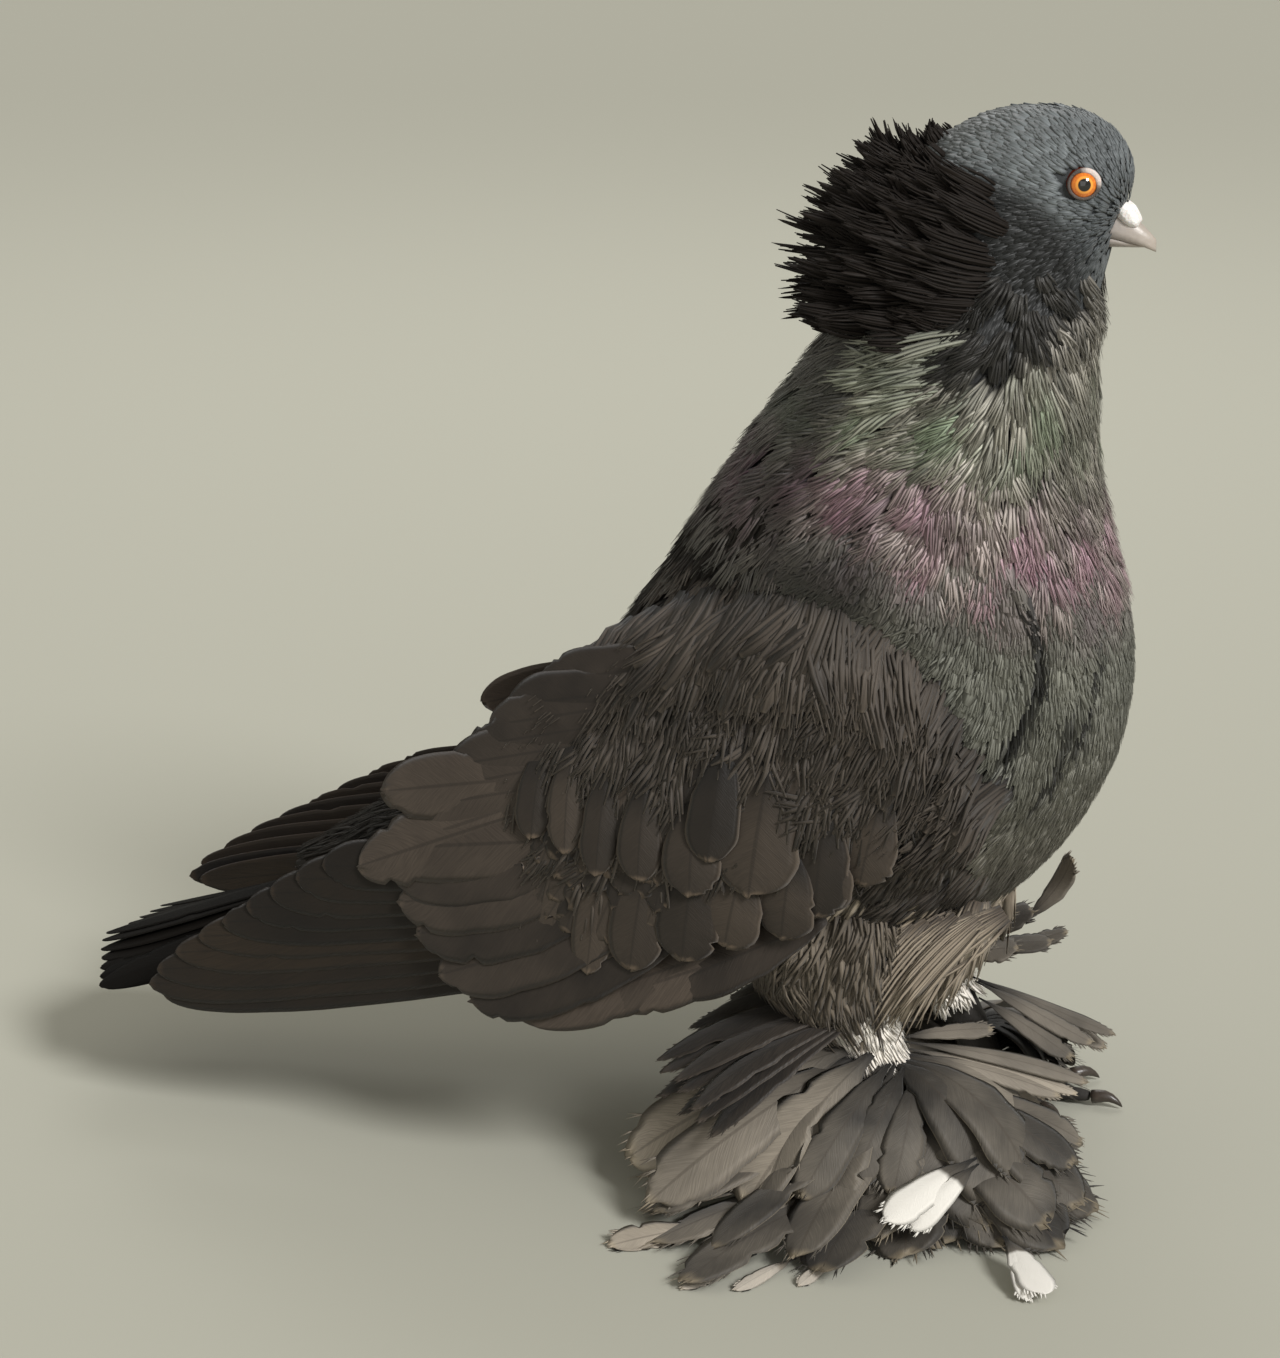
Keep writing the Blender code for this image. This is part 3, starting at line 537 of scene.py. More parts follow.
def plumage(name, **look):  # keratin barbs lying side by side: fine streaks across the vane, a soft low sheen
    made, tree, shader = newMaterial(
        name, Roughness=look.get("roughness", 0.6), Metallic=look.get("metallic", 0.0),
        Specular_IOR_Level=look.get("gloss", 0.35), Sheen_Weight=look.get("sheen", 0.08))
    marks = {mark: addNode(tree, "ShaderNodeAttribute", {"attribute_name": mark}, out="Fac")
             for mark in ("tone", "green", "pink", "dark", "white") if mark == "tone" or mark in look}
    tone = marks["tone"]
    vaneUv = addNode(tree, "ShaderNodeUVMap", {"uv_map": "vane"})
    u, v, _ = addNode(tree, "ShaderNodeSeparateXYZ", None, vaneUv).node.outputs
    across = addNode(tree, sums, apart, addNode(tree, sums, minus, u, 0.5))
    where = addNode(tree, "ShaderNodeTexCoord", out="Object")
    patches = addNode(tree, noise, Vector=where, Scale=1000 / look.get("patch", 26), Detail=3.0)
    patches = addNode(tree, sums, times, addNode(tree, sums, minus, patches, 0.32), 0.7)
    share = addNode(tree, sums, added, addNode(tree, sums, times, tone, 0.75), patches)
    colour = addNode(tree, mixer, coloured, share, hexColour(look["dark"]), hexColour(look["light"]))
    layers = [(marks[band], look[band]) for band in ("green", "pink") if band in look]  # the neck's structural colours
    height = None
    if "streaks" in look or "barbs" in look:  # barbs that run along a soft feather, or slant across a firm one
        slope = addNode(tree, sums, minus, v, addNode(tree, sums, times, across, 0.35))
        low, high, depth, *pattern = (
            (0.42, 0.66, 0.5, (u, look["streaks"]), (v, 1.6), (tone, 50.0)) if "streaks" in look else
            (0.35, 0.65, 0.3, (slope, look["barbs"]), (across, 4.0), (tone, 60.0)))
        along = addNode(tree, "ShaderNodeCombineXYZ", None, *[addNode(tree, sums, times, *pair) for pair in pattern])
        height = addNode(tree, noise, Vector=along, Scale=1.0, Detail=2.0, Roughness=0.6)
        line = addNode(tree, ranger, smooth, height, low, high)
        layers.append((addNode(tree, sums, times, line, look.get("lineDepth", depth)), look["dark"]))
    if "edge" in look:
        rims = [addNode(tree, ranger, smooth, across, look["rim"], 0.5),
            addNode(tree, ranger, smooth, v, look["rimTip"], 1.0)]
        layers.append((addNode(tree, sums, times, addNode(tree, sums, larger, *rims), look["edgeShare"]), look["edge"]))
    if "shaft" in look:
        stem = addNode(tree, ranger, smooth, across, 0.012, 0.035, 1.0, 0.0)
        layers.append((addNode(tree, sums, times, stem, 0.4), look["shaft"]))
    if "root" in look:  # painted shade at the downy base of each feather, where the feathers above it would cast shadow
        layers.append((addNode(tree, ranger, smooth, v, 0.0, look.get("rootReach", 0.5), 1.0, 0.0), look["root"]))
    # near-black where the dark mark says: the black sides of the head and the nape's dark strip, and painted shade in
    # the breast's folds, the throat's clefts, the notch at the whorl, under the head and above the wing's front
    layers.append((marks["dark"], "#0b0a09"))
    if "white" in look:
        tip = addNode(tree, ranger, smooth, v, look["whiteFrom"], look["whiteFrom"] + 0.06)
        layers.append((addNode(tree, sums, times, marks["white"], tip), look["white"]))
    dress(tree, shader, colour, layers, height)
    return made


# in each look, root is the colour of the painted shade at the base of every feather
looks = {
    "head": plumage(
        "slate head feathers",
        dark="#3f4345", light="#858b8d", root="#4b4f51", rootReach=0.2, roughness=0.5, patch=9, sheen=0.12),
    "hood": plumage(
        "black hood plumes",
        dark="#030302", light="#100d0b", edge="#2c221a", rim=0.6, rimTip=0.9, edgeShare=0.35, streaks=5.0,
        roughness=0.6, gloss=0.2, sheen=0.02, patch=12),
    "neck": plumage(
        "iridescent neck hackles",
        dark="#26231f", light="#d8d1c4", green="#93a688", pink="#c096a7", root="#1a1816", rootReach=0.3,
        streaks=9.0, lineDepth=0.35, roughness=0.45, metallic=0.2, gloss=0.45, patch=11),
    "breast": plumage(
        "grey-green breast feathers",
        dark="#4d4943", light="#a7a296", green="#90958a", pink="#b59aa6", root="#4a4742", rootReach=0.25,
        streaks=10.0, lineDepth=0.4, roughness=0.58, patch=26),
    "belly": plumage(
        "brown belly feathers",
        dark="#7d7061", light="#cfc2ad", root="#4d4338", rootReach=0.3, streaks=9.0, roughness=0.6, patch=20),
    "thigh": plumage(
        "brown thigh feathers",
        dark="#3d352d", light="#958979", root="#2a241e", rootReach=0.35, streaks=9.0, roughness=0.6, patch=16),
    "hock": plumage(
        "black-brown hock feathers",
        dark="#12100e", light="#453d35", edge="#6a5d4f", edgeShare=0.3, rim=0.44, rimTip=0.93, shaft="#100d0b",
        barbs=60.0, lineDepth=0.5, roughness=0.55),
    "back": plumage(
        "dark back feathers",
        dark="#0e0b08", light="#241d17", sheen=0.0, root="#0d0a08", rootReach=0.3, streaks=9.0, roughness=0.6,
        gloss=0.25),
    "shoulder": plumage(
        "loose shoulder coverts",
        dark="#26211c", light="#655b51", root="#15120f", rootReach=0.4, edge="#75685b", rim=0.46, rimTip=0.95,
        edgeShare=0.3, streaks=10.0, lineDepth=0.4, roughness=0.58, patch=15),
    "covert": plumage(
        "wing coverts",
        dark="#1b1713", light="#483f36", edge="#7a6a59", edgeShare=0.55, rim=0.44, rimTip=0.94, shaft="#1b1713",
        root="#120f0c", rootReach=0.5, barbs=120.0, lineDepth=0.3, roughness=0.55, gloss=0.25),
    "tertial": plumage(
        "taupe tertials",
        dark="#17120e", light="#51473e", edge="#6b5d50", edgeShare=0.35, rim=0.46, rimTip=0.965, shaft="#15110e",
        barbs=130.0, lineDepth=0.3, roughness=0.5, gloss=0.3, patch=20),
    "primary": plumage(
        "flight quills",
        dark="#0e0a07", light="#2a2117", edge="#3f3225", edgeShare=0.5, rim=0.46, rimTip=0.98, shaft="#0b0805",
        barbs=160.0, lineDepth=0.4, roughness=0.5, gloss=0.25),
    "tail": plumage(
        "black tail quills",
        dark="#050403", light="#130f0b", edge="#1c1610", edgeShare=0.2, rim=0.46, rimTip=0.98, shaft="#040302",
        barbs=150.0, lineDepth=0.35, roughness=0.75, gloss=0.12, sheen=0.0),
    "muff": plumage(
        "taupe foot feathers",
        dark="#171513", light="#b0a595", edge="#a8987c", edgeShare=0.35, rim=0.478, rimTip=0.95, shaft="#3d352d",
        white="#dcd8d0", whiteFrom=0.30, barbs=110.0, lineDepth=0.2, root="#0f0d0b", rootReach=0.5,
        roughness=0.6),
    "fluff": plumage(
        "pale hock down",
        dark="#e6dccd", light="#fffaf2", root="#cdbfab", roughness=0.75, sheen=0.3),
}


def skinMaterial():  # thin skin and down between the feathers, only seen in the gaps
    made, tree, shader = newMaterial("downy skin", Roughness=0.8)
    where = addNode(tree, "ShaderNodeTexCoord", out="Object")
    grain = addNode(tree, noise, Vector=where, Scale=700.0, Detail=4.0)  # down about 1.5 mm across
    height = addNode(tree, "ShaderNodeSeparateXYZ", None, where, out="Z")
    head = addNode(tree, ranger, smooth, height, 0.235, 0.275)
    layers = [(head, "#34383a"), (addNode(tree, sums, times, grain, 0.5), "#171513")]
    dress(tree, shader, hexColour("#2a2622"), layers, grain, 0.5, 0.0008)
    return made


def hornMaterial(name, pale, dark, toTip):  # layered keratin: growth bands along it, satin polish
    made, tree, shader = newMaterial(
        name, Roughness=0.34, Subsurface_Weight=0.08, Subsurface_Radius=(0.002, 0.0015, 0.001))
    where = addNode(tree, "ShaderNodeTexCoord", out="Object")
    bands = addNode(tree, noise, Vector=where, Scale=900.0, Detail=3.0)
    along = addNode(tree, "ShaderNodeAttribute", {"attribute_name": "along"}, out="Fac")
    layers = [(addNode(tree, sums, times, bands, 0.5), dark), (addNode(tree, sums, times, along, 0.6), toTip)]
    dress(tree, shader, hexColour(pale), layers, bands, 0.2, 0.0003)
    return made


def bareSkinMaterial(name, pale, warm, grainSize, strength, patch=None):  # powdery bare skin with fine pimples
    made, tree, shader = newMaterial(
        name, Roughness=0.7, Subsurface_Weight=0.15, Subsurface_Radius=(0.002, 0.001, 0.0007))
    where = addNode(tree, "ShaderNodeTexCoord", out="Object")
    grain = addNode(tree, "ShaderNodeTexVoronoi", Vector=where, Scale=1000 / grainSize)
    layers = [(addNode(tree, noise, Vector=where, Scale=300.0, Detail=3.0), warm)]
    if patch:
        layers.append((addNode(tree, "ShaderNodeAttribute", {"attribute_name": "pale"}, out="Fac"), patch))
    dress(tree, shader, hexColour(pale), layers, grain, strength, 0.0004)
    return made


def eyeMaterial():  # clear cornea over an orange iris with a dark pupil
    made, tree, shader = newMaterial("wet orange eye", Roughness=0.12, Coat_Weight=1.0, Coat_Roughness=0.03)
    radial, turn = (addNode(tree, "ShaderNodeAttribute", {"attribute_name": mark}, out="Fac")
        for mark in ("radial", "turn"))
    place = [addNode(tree, sums, times, turn, 26.0), addNode(tree, sums, times, radial, 3.0)]
    place = addNode(tree, "ShaderNodeCombineXYZ", None, *place)
    spokes = addNode(tree, noise, {"noise_dimensions": "2D"}, Vector=place, Scale=1.0, Detail=3.0)
    rings = [(0.56, 0.7, 1.0, 0.0, "#f8a43c"), (0.80, 0.98, 0.0, 1.0, "#5a1d08"), (0.42, 0.5, 1.0, 0.0, "#060404")]
    layers = [(spokes, "#b9420a")] + [(addNode(tree, ranger, smooth, radial, *ring[:4]), ring[4]) for ring in rings]
    dress(tree, shader, hexColour("#f7931e"), layers)
    return made


looks["skin"] = skinMaterial()
looks["beak"] = hornMaterial("pale beak horn", "#a8a09b", "#5f5854", "#b5a99a")
looks["claw"] = hornMaterial("dark claw horn", "#4d443c", "#2a2420", "#1c1815")
looks["wattle"] = bareSkinMaterial("chalky wattle skin", "#f1efec", "#ddd6d2", 0.8, 0.5)
looks["lid"] = bareSkinMaterial("pinkish lid skin", "#5d524c", "#45403d", 0.6, 0.4, "#e8d9d2")
looks["eye"] = eyeMaterial()
print("materials made")


# Skin

def gridFaces(rows, columns):  # quads of a closed tube
    r, c = np.meshgrid(np.arange(rows - 1), np.arange(columns), indexing="ij")
    a, b = r * columns + c, r * columns + (c + 1) % columns
    return np.stack([a, b, b + columns, a + columns], -1).reshape(-1, 4)


def tubeRings(path, radii, count=16):
    path = np.array(path, float)
    rings = []
    for n, centre in enumerate(path):
        ahead = unit(path[min(n + 1, len(path) - 1)] - path[max(n - 1, 0)])
        side = unit(np.cross(ahead, (0, 0, 1) if abs(ahead[2]) < 0.8 else (1, 0, 0)))
        up = np.cross(side, ahead)
        turn = np.linspace(0, math.tau, count, endpoint=False)[:, None]
        rings.append(centre + radii[n] * (side * np.cos(turn) + up * np.sin(turn)))
    return np.array(rings)


def closedTube(rings):  # vertices and faces of a tube with both ends closed
    rows, count = rings.shape[:2]
    ends = [np.arange(count)[::-1][None], ((rows - 1) * count + np.arange(count))[None]]
    return rings.reshape(-1, 3), [gridFaces(rows, count), np.concatenate(ends)]


legs = {
    "right": {"side": -1, "hock": (-28.0, -42.0, 52.0), "pad": (-7.0, -43.0, 6.0)},
    "left": {"side": 1, "hock": (-26.0, 44.0, 52.0), "pad": (-5.0, 49.0, 6.0)},
    "toes": [("middle", -6.0, 33.0), ("inner", -42.0, 25.0), ("outer", 30.0, 27.0), ("hind", 170.0, 16.0)],
}


def legLine(name):  # side, hip, the thigh's direction, hock and the pad under the toes
    leg = legs[name]
    side, hock, pad = leg["side"], np.array(leg["hock"]), np.array(leg["pad"])
    down = unit((20.0, side * 8.0, -40.0))
    return side, hock - down * 45, down, hock, pad


def toePaths(leg):
    made = []
    for name, turn, length in legs["toes"]:
        turn = math.radians(turn)
        heading = np.array([math.cos(turn), leg["side"] * math.sin(turn), 0.0])
        start = np.array([leg["pad"][0], leg["pad"][1], 0.0])
        path = [start + heading * length * t + np.array([0, 0, h])
            for t, h in zip((0.0, 0.35, 0.7, 1.0), (4.6, 3.9, 3.5, 3.1))]
        made.append((name, heading, path))
    return made


def makeSkin():
    places, angles = np.meshgrid(np.linspace(0.02, 20.9, 120), np.linspace(0, math.tau, 72, endpoint=False),
        indexing="ij")
    inside = trunkPoint(places, angles).mean(1, keepdims=True)
    point, normal = outward(trunkPoint, places, angles, inside)
    inset = np.interp(places, [0, 6, 8], [0.9, 1.0, body["coat"]])
    shell = point - normal * inset[..., None]
    parts = [closedTube(shell)]
    for name in sides:
        _, hip, down, hock, pad = legLine(name)
        shank = hock + (pad - hock) * 0.4
        path = [hip - down * 8, hip, hip + down * 14, hip + down * 28, hock, shank, pad, pad + (0, 0, -2)]
        parts.append(closedTube(tubeRings(path, [8, 18, 22, 17, 8, 6.5, 6.5, 4])))
        for _, _, path in toePaths(legs[name]):
            parts.append(closedTube(tubeRings(path, [4.3, 3.8, 3.3, 2.8], 12)))
    verts, faces, start = [], [[], []], 0
    for points, groups in parts:
        verts.append(points)
        for group in groups:
            faces[0 if group.shape[1] == 4 else 1].append(group + start)
        start += len(points)
    made = bpy.data.meshes.new("skin")
    allFaces = [f.tolist() for g in faces for group in g for f in group]
    made.from_pydata(((np.concatenate(verts) + shift) * metre).tolist(), [], allFaces)
    skin = turnOutwards(addObject("bodySkin", made))
    remesh = skin.modifiers.new("remesh", "REMESH")
    remesh.mode, remesh.voxel_size = "VOXEL", 0.0021
    soften = skin.modifiers.new("soften", "SMOOTH")
    soften.factor, soften.iterations = 0.5, 4
    shaped = applyModifiers(skin)
    shaped.materials.clear()
    shaped.materials.append(looks["skin"])
    return place(skin, "plumage", "head", "neck", "torso", "thigh_right", "thigh_left")


makeSkin()
print("skin made")


# Plumage that follows the body

def trunkScatter(count, low, high, density=None):  # places and angles spread evenly over a stretch of the body
    first, second, third = evenly(count * 14, 3)
    place, angle = low + (high - low) * first, math.tau * second
    _, alongA, alongB = frameOf(trunkPoint, place, angle)
    area = np.linalg.norm(np.cross(alongA, alongB), axis=-1)
    share = area / np.quantile(area, 0.98)
    if density is not None:
        share = share * density(place, angle)
    keep = third < share
    return place[keep][:count], angle[keep][:count]


def trunkMiddle(place, angle=None):
    row = smoothRows(body["sections"], place)
    return np.stack([(row[..., 0] + row[..., 2]) / 2, 0 * row[..., 0], (row[..., 1] + row[..., 3]) / 2], -1)


def underWing(place, angle):  # 0 where a folded wing covers the body
    point = trunkPoint(place, angle)
    keep = np.ones(len(place))
    for side in (-1, 1):
        start, back, up, _ = wingAxes(side)
        rel = point - start
        b, u = rel @ back, rel @ up
        row = armRow(b)
        hidden = (b > 4) & (b < 140) & (u > row[:, 1] + 8) & (u < row[:, 2] - 12) & (point[:, 1] * side > 0)
        keep = np.where(hidden, 0, keep)
    return keep


creases = {  # deep folds of the breast, as places and angles on the body, and the breast's edge over the wing
    "folds": [
        [(11.5, 309), (11.8, 312), (12.2, 313), (12.7, 311), (13.1, 308), (13.4, 306)],
        [(12.2, 335), (12.7, 332), (13.2, 330)],
        [(13.0, 324), (13.4, 324), (13.8, 322)],
    ],
    "wingFront": [(11.4, 240), (11.4, 255), (11.6, 268), (12.1, 283), (12.8, 292), (13.5, 302), (14.0, 311)],
}


def creaseLine(line, side):
    place, angle = np.array(line, float).T
    point = trunkPoint(place, np.radians(angle))
    return point * [1, -side, 1]


def creaseReach(points, line):  # distance from a crease, and which side of it
    flat = points.reshape(-1, 3)
    best, hand = np.full(len(flat), 1e9), np.zeros(len(flat))
    for a, b in zip(line[:-1], line[1:]):
        run = b - a
        t = np.clip(((flat - a) @ run) / (run @ run), 0, 1)
        gap = flat - (a + t[:, None] * run)
        far = np.linalg.norm(gap, axis=1)
        closer = far < best
        best = np.where(closer, far, best)
        hand = np.where(closer, np.sign(gap[:, 0] * -run[2] + gap[:, 2] * run[0]), hand)
    return best.reshape(points.shape[:-1]), hand.reshape(points.shape[:-1])


creaseLines = [creaseLine(line, side) for line in creases["folds"] for side in (1, -1)]
wingFronts = [creaseLine(creases["wingFront"], side) for side in (1, -1)]


def breastRise(point):
    height = 0
    for line in creaseLines:
        far, hand = creaseReach(point, line)
        height = height + np.where(hand < 0, 3.4 * np.exp(-far / 8), -2.4 * np.exp(-((far / 4.2) ** 2)))
    for line in wingFronts:
        far, _ = creaseReach(point, line)
        height = height + 3.4 * np.exp(-((far / 8) ** 2))
    return height


def foldNear(point):  # narrower feathers beside a fold, so that it stays open
    near = np.min([creaseReach(point, line)[0] for line in creaseLines], axis=0)
    return np.interp(near, [0, 3, 9], [0.22, 0.35, 1.0])


# painted shade: dark on one side of each breast fold, a soft band of it where the breast meets the wing's front, and
# the nape's darkening
def breastShadeAndNape(point):
    shade = 0
    for line in creaseLines:
        far, hand = creaseReach(point, line)
        shade = np.maximum(shade, np.where(hand < 0, 0.0, 1.0) * np.exp(-((far / 4.4) ** 4)))
    return np.maximum.reduce([shade, napeDark(point), 0.22 * bump01(point[..., 2], 190, 16)])


def greenMark(point):
    return bump01(point[:, 2], 242, 17) * np.clip(0.30 + 0.8 * wander(point, 8, 2), 0.12, 0.8)


def pinkMark(point):
    return bump01(point[:, 2] + 0.25 * point[:, 0], 206, 22) * np.clip(0.45 + 0.7 * wander(point, 7, 5), 0.28, 0.95)


def earDark(point):  # the almost black sides of the head, behind and below the eye
    near = 1.15 - ((point[..., 0] + 13) / 41) ** 2 - ((point[..., 2] - 282) / 29) ** 2
    return np.clip(2.6 * near, 0, 0.94) * (np.abs(point[..., 1]) > 5)


def napeDark(point):  # the dark strip down the nape, and the shade above the wing's front
    nape = np.interp(point[..., 2], [190, 215, 240, 262], [-50, -42, -34, -28])
    shade = np.clip((-14 - point[..., 0]) / 16, 0, 1) * np.clip((226 - point[..., 2]) / 24, 0, 1)
    return 0.75 * np.maximum(shade, np.clip((nape - point[..., 0]) / 9, 0, 1))


def neckShadeAndBlack(point):  # painted shade under the head, in the notch at the whorl and in the clefts down the throat, with the black sides of the head and the nape's darkening
    notch = (np.clip(1.6 * (1 - ((point[:, 0] - 3) / 6) ** 2 - ((point[:, 2] - 262) / 10) ** 2), 0, 0.85)
        * (np.abs(point[:, 1]) > 8))
    clefts = (np.clip(2.6 * (wander(point * [1.0, 1.0, 0.3], 5, 9) - 0.2), 0, 0.75)
        * np.clip((point[:, 0] + 4) / 10, 0, 1) * np.clip((point[:, 2] - 222) / 20, 0, 1))
    return np.maximum.reduce([earDark(point), 0.3 * np.clip((point[:, 2] - 254) / 14, 0, 1), notch, clefts,
        napeDark(point)])


def throatRise(point):  # ragged ends under the beak
    return 2.0 * (point[..., 0] > 20) * bump01(point[..., 2], 267, 9)


def frontEdge(height):  # where the breast's feathers end over the shoulder, ahead of the wing
    return np.interp(height, [134, 146, 165, 182, 195, 200, 203], [11, 5, -2, -11, -30, -47, -75])


coat = {
    "neck": {"count": 1560, "stretch": (6.0, 11.3), "length": 16.5, "width": 6.6, "strands": 8, "barb": 1.2,
        "ridge": 0.04, "lift": 1.5, "curve": 0.15, "rows": 3, "tones": (0.08, 0.72, 0.16), "grow": (6.0, 7.6),
        "outline": [0.7, 1.0, 1.0, 0.8, 0.3]},
    "whorl": {"count": 80, "stretch": (7.0, 9.0), "length": 27.0, "width": 7.0, "strands": 6, "barb": 1.4,
        "lift": 2.8, "curve": 0.12, "rows": 5, "tones": (0.3, 0.4, 0.25)},
    "breast": {"count": 1900, "stretch": (10.6, 15.4), "length": 15.0, "width": 8.6, "strands": 7, "barb": 1.45,
        "lift": 0.6, "curve": 0.06, "rows": 3, "tones": (0.22, 0.42, 0.1), "ridge": 0.03,
        "outline": [0.7, 1.0, 1.0, 0.8, 0.35]},
    "belly": {"count": 490, "stretch": (15.2, 20.7), "length": 20.0, "width": 10.0, "strands": 6, "barb": 1.8,
        "lift": 1.4, "curve": 0.1, "rows": 4, "ridge": 0.05, "tones": (0.1, 0.5, 0.15)},
    "mantle": {"count": 460, "stretch": (10.9, 15.5), "length": 21.0, "width": 9.5, "strands": 6, "barb": 1.8,
        "lift": 1.3, "curve": 0.12, "rows": 4, "stray": 0.2, "ridge": 0.05, "tones": (0.0, 0.5, 0.15)},
    "back": {"count": 400, "stretch": (10.4, 20.6), "length": 21.0, "width": 10.5, "strands": 6, "barb": 1.6,
        "lift": 1.3, "curve": 0.1, "rows": 4},
}


def trunkBundles(name, cfg, look, slotName, sweep=None, marks=None, rise=None, where=None, narrow=None):
    place, angle = trunkScatter(cfg["count"], *cfg["stretch"], where)
    here, alongA, _ = frameOf(trunkPoint, place, angle)
    lay = unit(alongA) + rng.normal(0, cfg.get("stray", 0.10), here.shape)
    if sweep is not None:
        lay = lay + sweep(here)
    length = cfg["length"] * rng.uniform(0.8, 1.2, len(place)) * np.interp(place, cfg.get("grow", (0, 1)), [0.5, 1.0])
    width = cfg["width"] * rng.uniform(0.8, 1.2, len(place))
    if narrow is not None:
        width = width * narrow(here)
    return bundlePiece(name, trunkPoint, trunkMiddle, place, angle, lay, length, width, cfg, look, slotName, marks,
        rise)


def neckSweep(here):  # the hackles stream down and back from the whorl under each ear
    back = np.clip((8 - here[:, 0]) / 36, -0.35, 1) * np.clip((here[:, 2] - 205) / 40, 0, 1)
    return np.stack([-2.3 * back, 0 * back, 0 * back], 1)


def breastSweep(here):
    total = np.zeros(here.shape)
    for line in wingFronts:
        far, _ = creaseReach(here, line)
        total[:, 0] -= 1.3 * np.exp(-((far / 10) ** 2))
    return total


def bothSides(name, cfg, look, slotName, **rules):  # two pieces, so that neither gets too heavy
    where = rules.pop("where")
    for half, hand in sides.items():
        ruled = lambda place, angle, hand=hand: (np.sin(angle) * hand > 0) * where(place, angle)
        trunkBundles(name + half.capitalize(), {**cfg, "count": cfg["count"] // 2}, look, slotName, where=ruled,
            **rules)


def wornBy(place, angle):  # 0 breast, 1 mantle beside the wing, 2 back
    point = trunkPoint(place, angle)
    behind = (point[:, 0] < frontEdge(point[:, 2])) | (np.cos(angle) < -0.3)
    beside = (np.abs(point[:, 1]) > 21) & (point[:, 2] < 203) & (place < 15.5)
    return np.where(behind, np.where(beside, 1, 2), 0)


bothSides("neckHackles", coat["neck"], looks["neck"], "neck", where=lambda p, a: np.clip(p - 5.9, 0.12, 1),
    sweep=neckSweep, rise=throatRise, marks={"green": greenMark, "pink": pinkMark, "dark": neckShadeAndBlack})
trunkBundles("whorlHackles", coat["whorl"], looks["neck"], "neck", sweep=lambda p: np.array([-2.2, 0.0, 0.35]),
    marks={"green": lambda p: 0.35 + 0 * p[:, 0], "dark": lambda p: 0.4 * earDark(p)},
             where=lambda p, a: (np.abs(trunkPoint(p, a)[:, 1]) > 12) * np.clip(2
                 - 2 * np.hypot(trunkPoint(p, a)[:, 0] + 10, trunkPoint(p, a)[:, 2] - 259) / 13, 0, 1))
bothSides("breastFeathers", coat["breast"], looks["breast"], "plumage", sweep=breastSweep, rise=breastRise,
          marks={"green": lambda p: 0.5 * bump01(p[:, 2], 165, 55), "pink": lambda p: 0.6 * pinkMark(p),
              "dark": breastShadeAndNape}, narrow=foldNear,
          where=lambda p, a: underWing(p, a) * (wornBy(p, a) == 0))
bothSides("mantleFeathers", coat["mantle"], looks["shoulder"], "plumage", sweep=lambda p: np.array([-0.1, 0.0, -0.5]),
          where=lambda p, a: underWing(p, a) * (wornBy(p, a) == 1))
trunkBundles("bellyFeathers", coat["belly"], looks["belly"], "plumage",
    where=lambda p, a: underWing(p, a) * (np.cos(a) > -0.25))
trunkBundles("backFeathers", coat["back"], looks["back"], "plumage",
    where=lambda p, a: underWing(p, a) * (wornBy(p, a) == 2) * (np.cos(a) < 0.2))
print("body feathers laid")


# Head: short feathers set by a node tree on points of the skin, from the beak backwards

head = {"count": 10300, "size": 5.0, "last": 7.8, "beak": (36.0, 0.0, 298.0), "eyeGap": 5.3, "beakGap": 5.2}


def tuftTree(name, look):  # sets one feather on every point, turned and sized by the point's own values
    tree = bpy.data.node_groups.new(name, "GeometryNodeTree")
    face = tree.interface
    face.new_socket("Geometry", in_out="INPUT", socket_type="NodeSocketGeometry")
    feather = face.new_socket("Feather", in_out="INPUT", socket_type="NodeSocketObject")
    size = face.new_socket("Size", in_out="INPUT", socket_type="NodeSocketFloat")
    face.new_socket("Geometry", in_out="OUTPUT", socket_type="NodeSocketGeometry")
    ends = tree.nodes.new("NodeGroupInput").outputs
    source = addNode(tree, "GeometryNodeObjectInfo", Object=ends["Feather"], out="Geometry")
    turn, scale, rootUv, vaneUv = (addNode(tree, "GeometryNodeInputNamedAttribute", {"data_type": "FLOAT_VECTOR"},
        Name=name)
                                   for name in ("turn", "size", "rootUv", "vane"))
    scaled = addNode(tree, "ShaderNodeVectorMath", {"operation": "SCALE"}, scale, ends["Size"])
    rotate = addNode(tree, "FunctionNodeEulerToRotation", Euler=turn)
    setOut = addNode(tree, "GeometryNodeInstanceOnPoints", Points=ends["Geometry"], Instance=source, Rotation=rotate,
        Scale=scaled)
    solid = addNode(tree, "GeometryNodeRealizeInstances", Geometry=setOut)
    patch = addNode(tree, "ShaderNodeVectorMath", {"operation": "SCALE"}, vaneUv, patchSize)
    total = addNode(tree, "ShaderNodeVectorMath", {"operation": "ADD"}, rootUv, patch)
    store = addNode(tree, "GeometryNodeStoreNamedAttribute", {"data_type": "FLOAT2", "domain": "CORNER"},
                    Geometry=solid, Name="OFBake", Value=total)
    dressed = addNode(tree, "GeometryNodeSetMaterial", Geometry=store, Material=look)
    tree.links.new(dressed, tree.nodes.new("NodeGroupOutput").inputs[0])
    return tree, feather.identifier, size.identifier


def oneFeather(name, outline, lift):  # a feather 1 long along +X with its face to +Z
    rows = len(outline)
    t = np.linspace(0, 1, rows)
    spine = np.stack([t, 0 * t, lift * t**1.4], 1)[None]
    normal = np.tile(np.array([0.0, 0.0, 1.0]), (1, rows, 1))
    verts, faces, vaneUv = smallFeathers(spine, normal, np.array([1.0]), outline, 0.07)
    made = bpy.data.meshes.new(name)
    made.from_pydata(verts.tolist(), [], [f.tolist() for g in faces for f in g])
    layer = made.uv_layers.new(name="vane")
    loops = np.zeros(len(made.loops), np.int32)
    made.loops.foreach_get("vertex_index", loops)
    layer.data.foreach_set("uv", vaneUv[loops].astype(np.float32).ravel())
    made.polygons.foreach_set("use_smooth", np.ones(len(made.polygons), bool))
    return turnOutwards(addObject(name, made))


